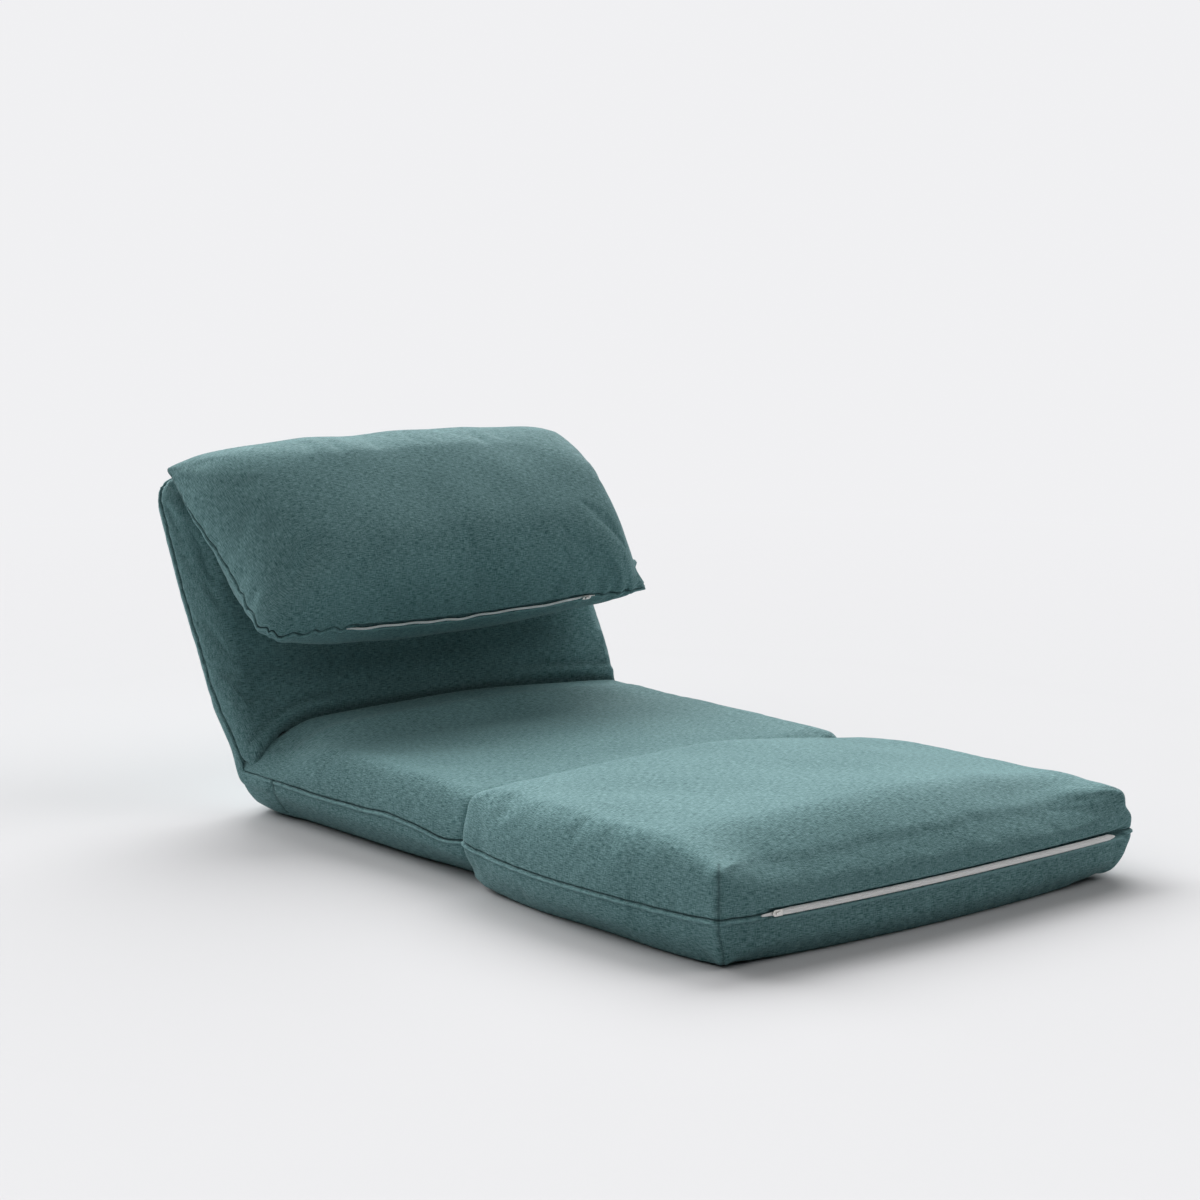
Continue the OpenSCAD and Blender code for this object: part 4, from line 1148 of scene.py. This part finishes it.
def stitch_tree():
    """Geometry Nodes: short stitches set along an edge path."""
    tree = bpy.data.node_groups.new("stitch_row", "GeometryNodeTree")
    for name, kind, way in STITCH_SOCKETS:
        tree.interface.new_socket(name, in_out=way, socket_type=kind)

    def add(kind, settings, values):
        node = tree.nodes.new(kind)
        for key, value in settings.items():
            setattr(node, key, value)
        for key, value in values.items():
            if isinstance(value, bpy.types.NodeSocket):
                tree.links.new(value, node.inputs[key])
            else:
                node.inputs[key].default_value = value
        return node

    given = add("NodeGroupInput", {}, {}).outputs
    curve = add("GeometryNodeMeshToCurve", {}, {"Mesh": given["Path"]}).outputs[0]
    spots = add("GeometryNodeCurveToPoints", {"mode": "LENGTH"}, {"Curve": curve, "Length": given["Pitch"]})
    ball = add("GeometryNodeMeshUVSphere", {}, {"Segments": 6, "Rings": 4, "Radius": 1.0}).outputs[0]
    sizes = {0: given["Thickness"], 1: given["Thickness"], 2: given["Length"]}
    size = add("ShaderNodeCombineXYZ", {}, sizes).outputs[0]
    stretched = add("GeometryNodeTransform", {}, {"Geometry": ball, "Scale": size}).outputs[0]
    placed = add("GeometryNodeInstanceOnPoints", {}, {
        "Points": spots.outputs["Points"], "Instance": stretched,
        "Rotation": spots.outputs["Rotation"]}).outputs[0]
    real = add("GeometryNodeRealizeInstances", {}, {"Geometry": placed}).outputs[0]
    dressed = add("GeometryNodeSetMaterial", {}, {"Geometry": real, "Material": given["Finish"]}).outputs[0]
    add("NodeGroupOutput", {}, {"Stitches": dressed})
    return tree


def stitch_row(name, tree, lines, pitch, length, thickness, finish, body):
    """One mesh of stitches along each of the given lines."""
    points, edges = [], []
    for line in lines:
        edges += [(len(points) + k, len(points) + k + 1) for k in range(len(line) - 1)]
        points += [tuple(p) for p in line]
    mesh = bpy.data.meshes.new(name)
    mesh.from_pydata(points, edges, [])
    piece = bpy.data.objects.new(name, mesh)
    scene.collection.objects.link(piece)
    row = piece.modifiers.new("row", "NODES")
    row.node_group = tree
    values = {"Pitch": pitch, "Length": length, "Thickness": thickness, "Finish": finish}
    for socket in tree.interface.items_tree:
        if socket.in_out == "INPUT" and socket.name in values:
            row[socket.identifier] = values[socket.name]
    plain_mesh(piece)
    piece.data.polygons.foreach_set("use_smooth", [True] * len(piece.data.polygons))
    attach(piece, body)


def make_foot_zip(finish, thread):
    """The zip along the foot cushion's front seam, narrower where the slider rests, and the
    two rows of stitches that hold its tapes."""
    start, end = -0.2985, 0.338
    xs = np.linspace(start, end - 0.0005, 170)
    bend = np.arcsin(xs / FOOT_ARC_R)
    y = FOOT_ARC_Y - FOOT_ARC_R * np.cos(bend) - 0.0016
    z = SEAM_Z - 0.0006 - 0.0016 * ramp(xs, 0.1, 0.33)
    path = np.stack([xs, y, z], 1)
    out = np.stack([np.sin(bend), -np.cos(bend), 0 * xs], 1)
    wide = 0.0022 + 0.0050 * ramp(xs, start, start + 0.05) ** 0.8
    wide = wide * np.sqrt(np.clip((end - xs) / 0.012, 0.02, 1))
    zip_tape("foot_zip_tape", path, out, wide, finish, "foot", "foot_zip")
    clear_of_ends = slice(12, -6)
    rows = []
    for side in (-1, 1):
        line = path + out * 0.0010 + np.array([0, 0, 1]) * (side * 0.36 * wide)[:, None]
        rows.append(line[clear_of_ends])
    stitch_row("foot_zip_stitches", stitch_tree(), rows, 0.0026, 0.0009, 0.00022, thread,
               "foot")


def make_pillow_zip(finish):
    """The zip along the pillow's bottom seam, which waves and sags a little."""
    start, end = -0.2175, 0.248
    xs = np.linspace(start + 0.0005, end - 0.0005, 150)
    wave = ripple(xs, xs * 0, 41, (0.05, 0.14)) * 0.0012
    sag = pillow_sag(xs)
    path = np.stack([xs, 0 * xs - PILLOW_LEN - 0.0004 + wave * 0.3 - sag, wave - 0.0022 - sag], 1)
    out = np.tile([0, -1, 0], (len(xs), 1))
    wide = 0.0029 * np.sqrt(np.clip(np.minimum(xs - start, end - xs) / 0.02, 0.03, 1))
    zip_tape("pillow_zip_tape", path, out, wide, finish, "pillow", "pillow_zip", PILLOW_PLACE)


def finish_frame(finishes):
    """Gives each carried-over CAD node the finish of its slot."""
    for part in frame["record"]["subparts"]:
        piece = frame["nodes"][part["node"]]
        for place in piece.material_slots:
            place.material = finishes[part["material_slot"]]


place_camera()
make_light()
make_floor()
TEAL = fabric("teal_weave", (0.038, 0.104, 0.108), (0.213, 0.372, 0.383))
ZIP = plain_cloth("zip_white", (0.88, 0.88, 0.87), (0.97, 0.97, 0.96), 1300)
THREAD = plain_cloth("zip_thread", (0.42, 0.42, 0.42), (0.62, 0.62, 0.62), 900)
BASE = plain_cloth("base_cloth", (0.018, 0.019, 0.021), (0.045, 0.047, 0.05), 800)
finish_frame({
    "teal_fabric": TEAL,
    "foam": plain_cloth("foam", (0.76, 0.72, 0.52), (0.86, 0.82, 0.66), 700),
    "wadding": plain_cloth("wadding", (0.80, 0.80, 0.78), (0.9, 0.9, 0.88), 400),
    "elastic": plain_cloth("elastic", (0.015, 0.015, 0.015), (0.05, 0.05, 0.05), 1100),
    "base_cloth": BASE,
    "black_steel": metal("black_steel", (0.05, 0.05, 0.055), 0.5),
    "zinc_steel": metal("zinc_steel", (0.62, 0.63, 0.65), 0.35),
    "spring_steel": metal("spring_steel", (0.22, 0.22, 0.25), 0.3),
    "zip_white": ZIP,
    "slider_metal": metal("slider_metal", (0.78, 0.77, 0.74), 0.35),
})
make_seat(TEAL)
make_back(TEAL)
make_foot(TEAL)
make_pillow(TEAL)
make_hinge_strips(TEAL)
make_foot_strap(TEAL)
make_base_cloth(BASE)
make_pillow_strip(TEAL)
make_foot_zip(ZIP, THREAD)
make_pillow_zip(ZIP)
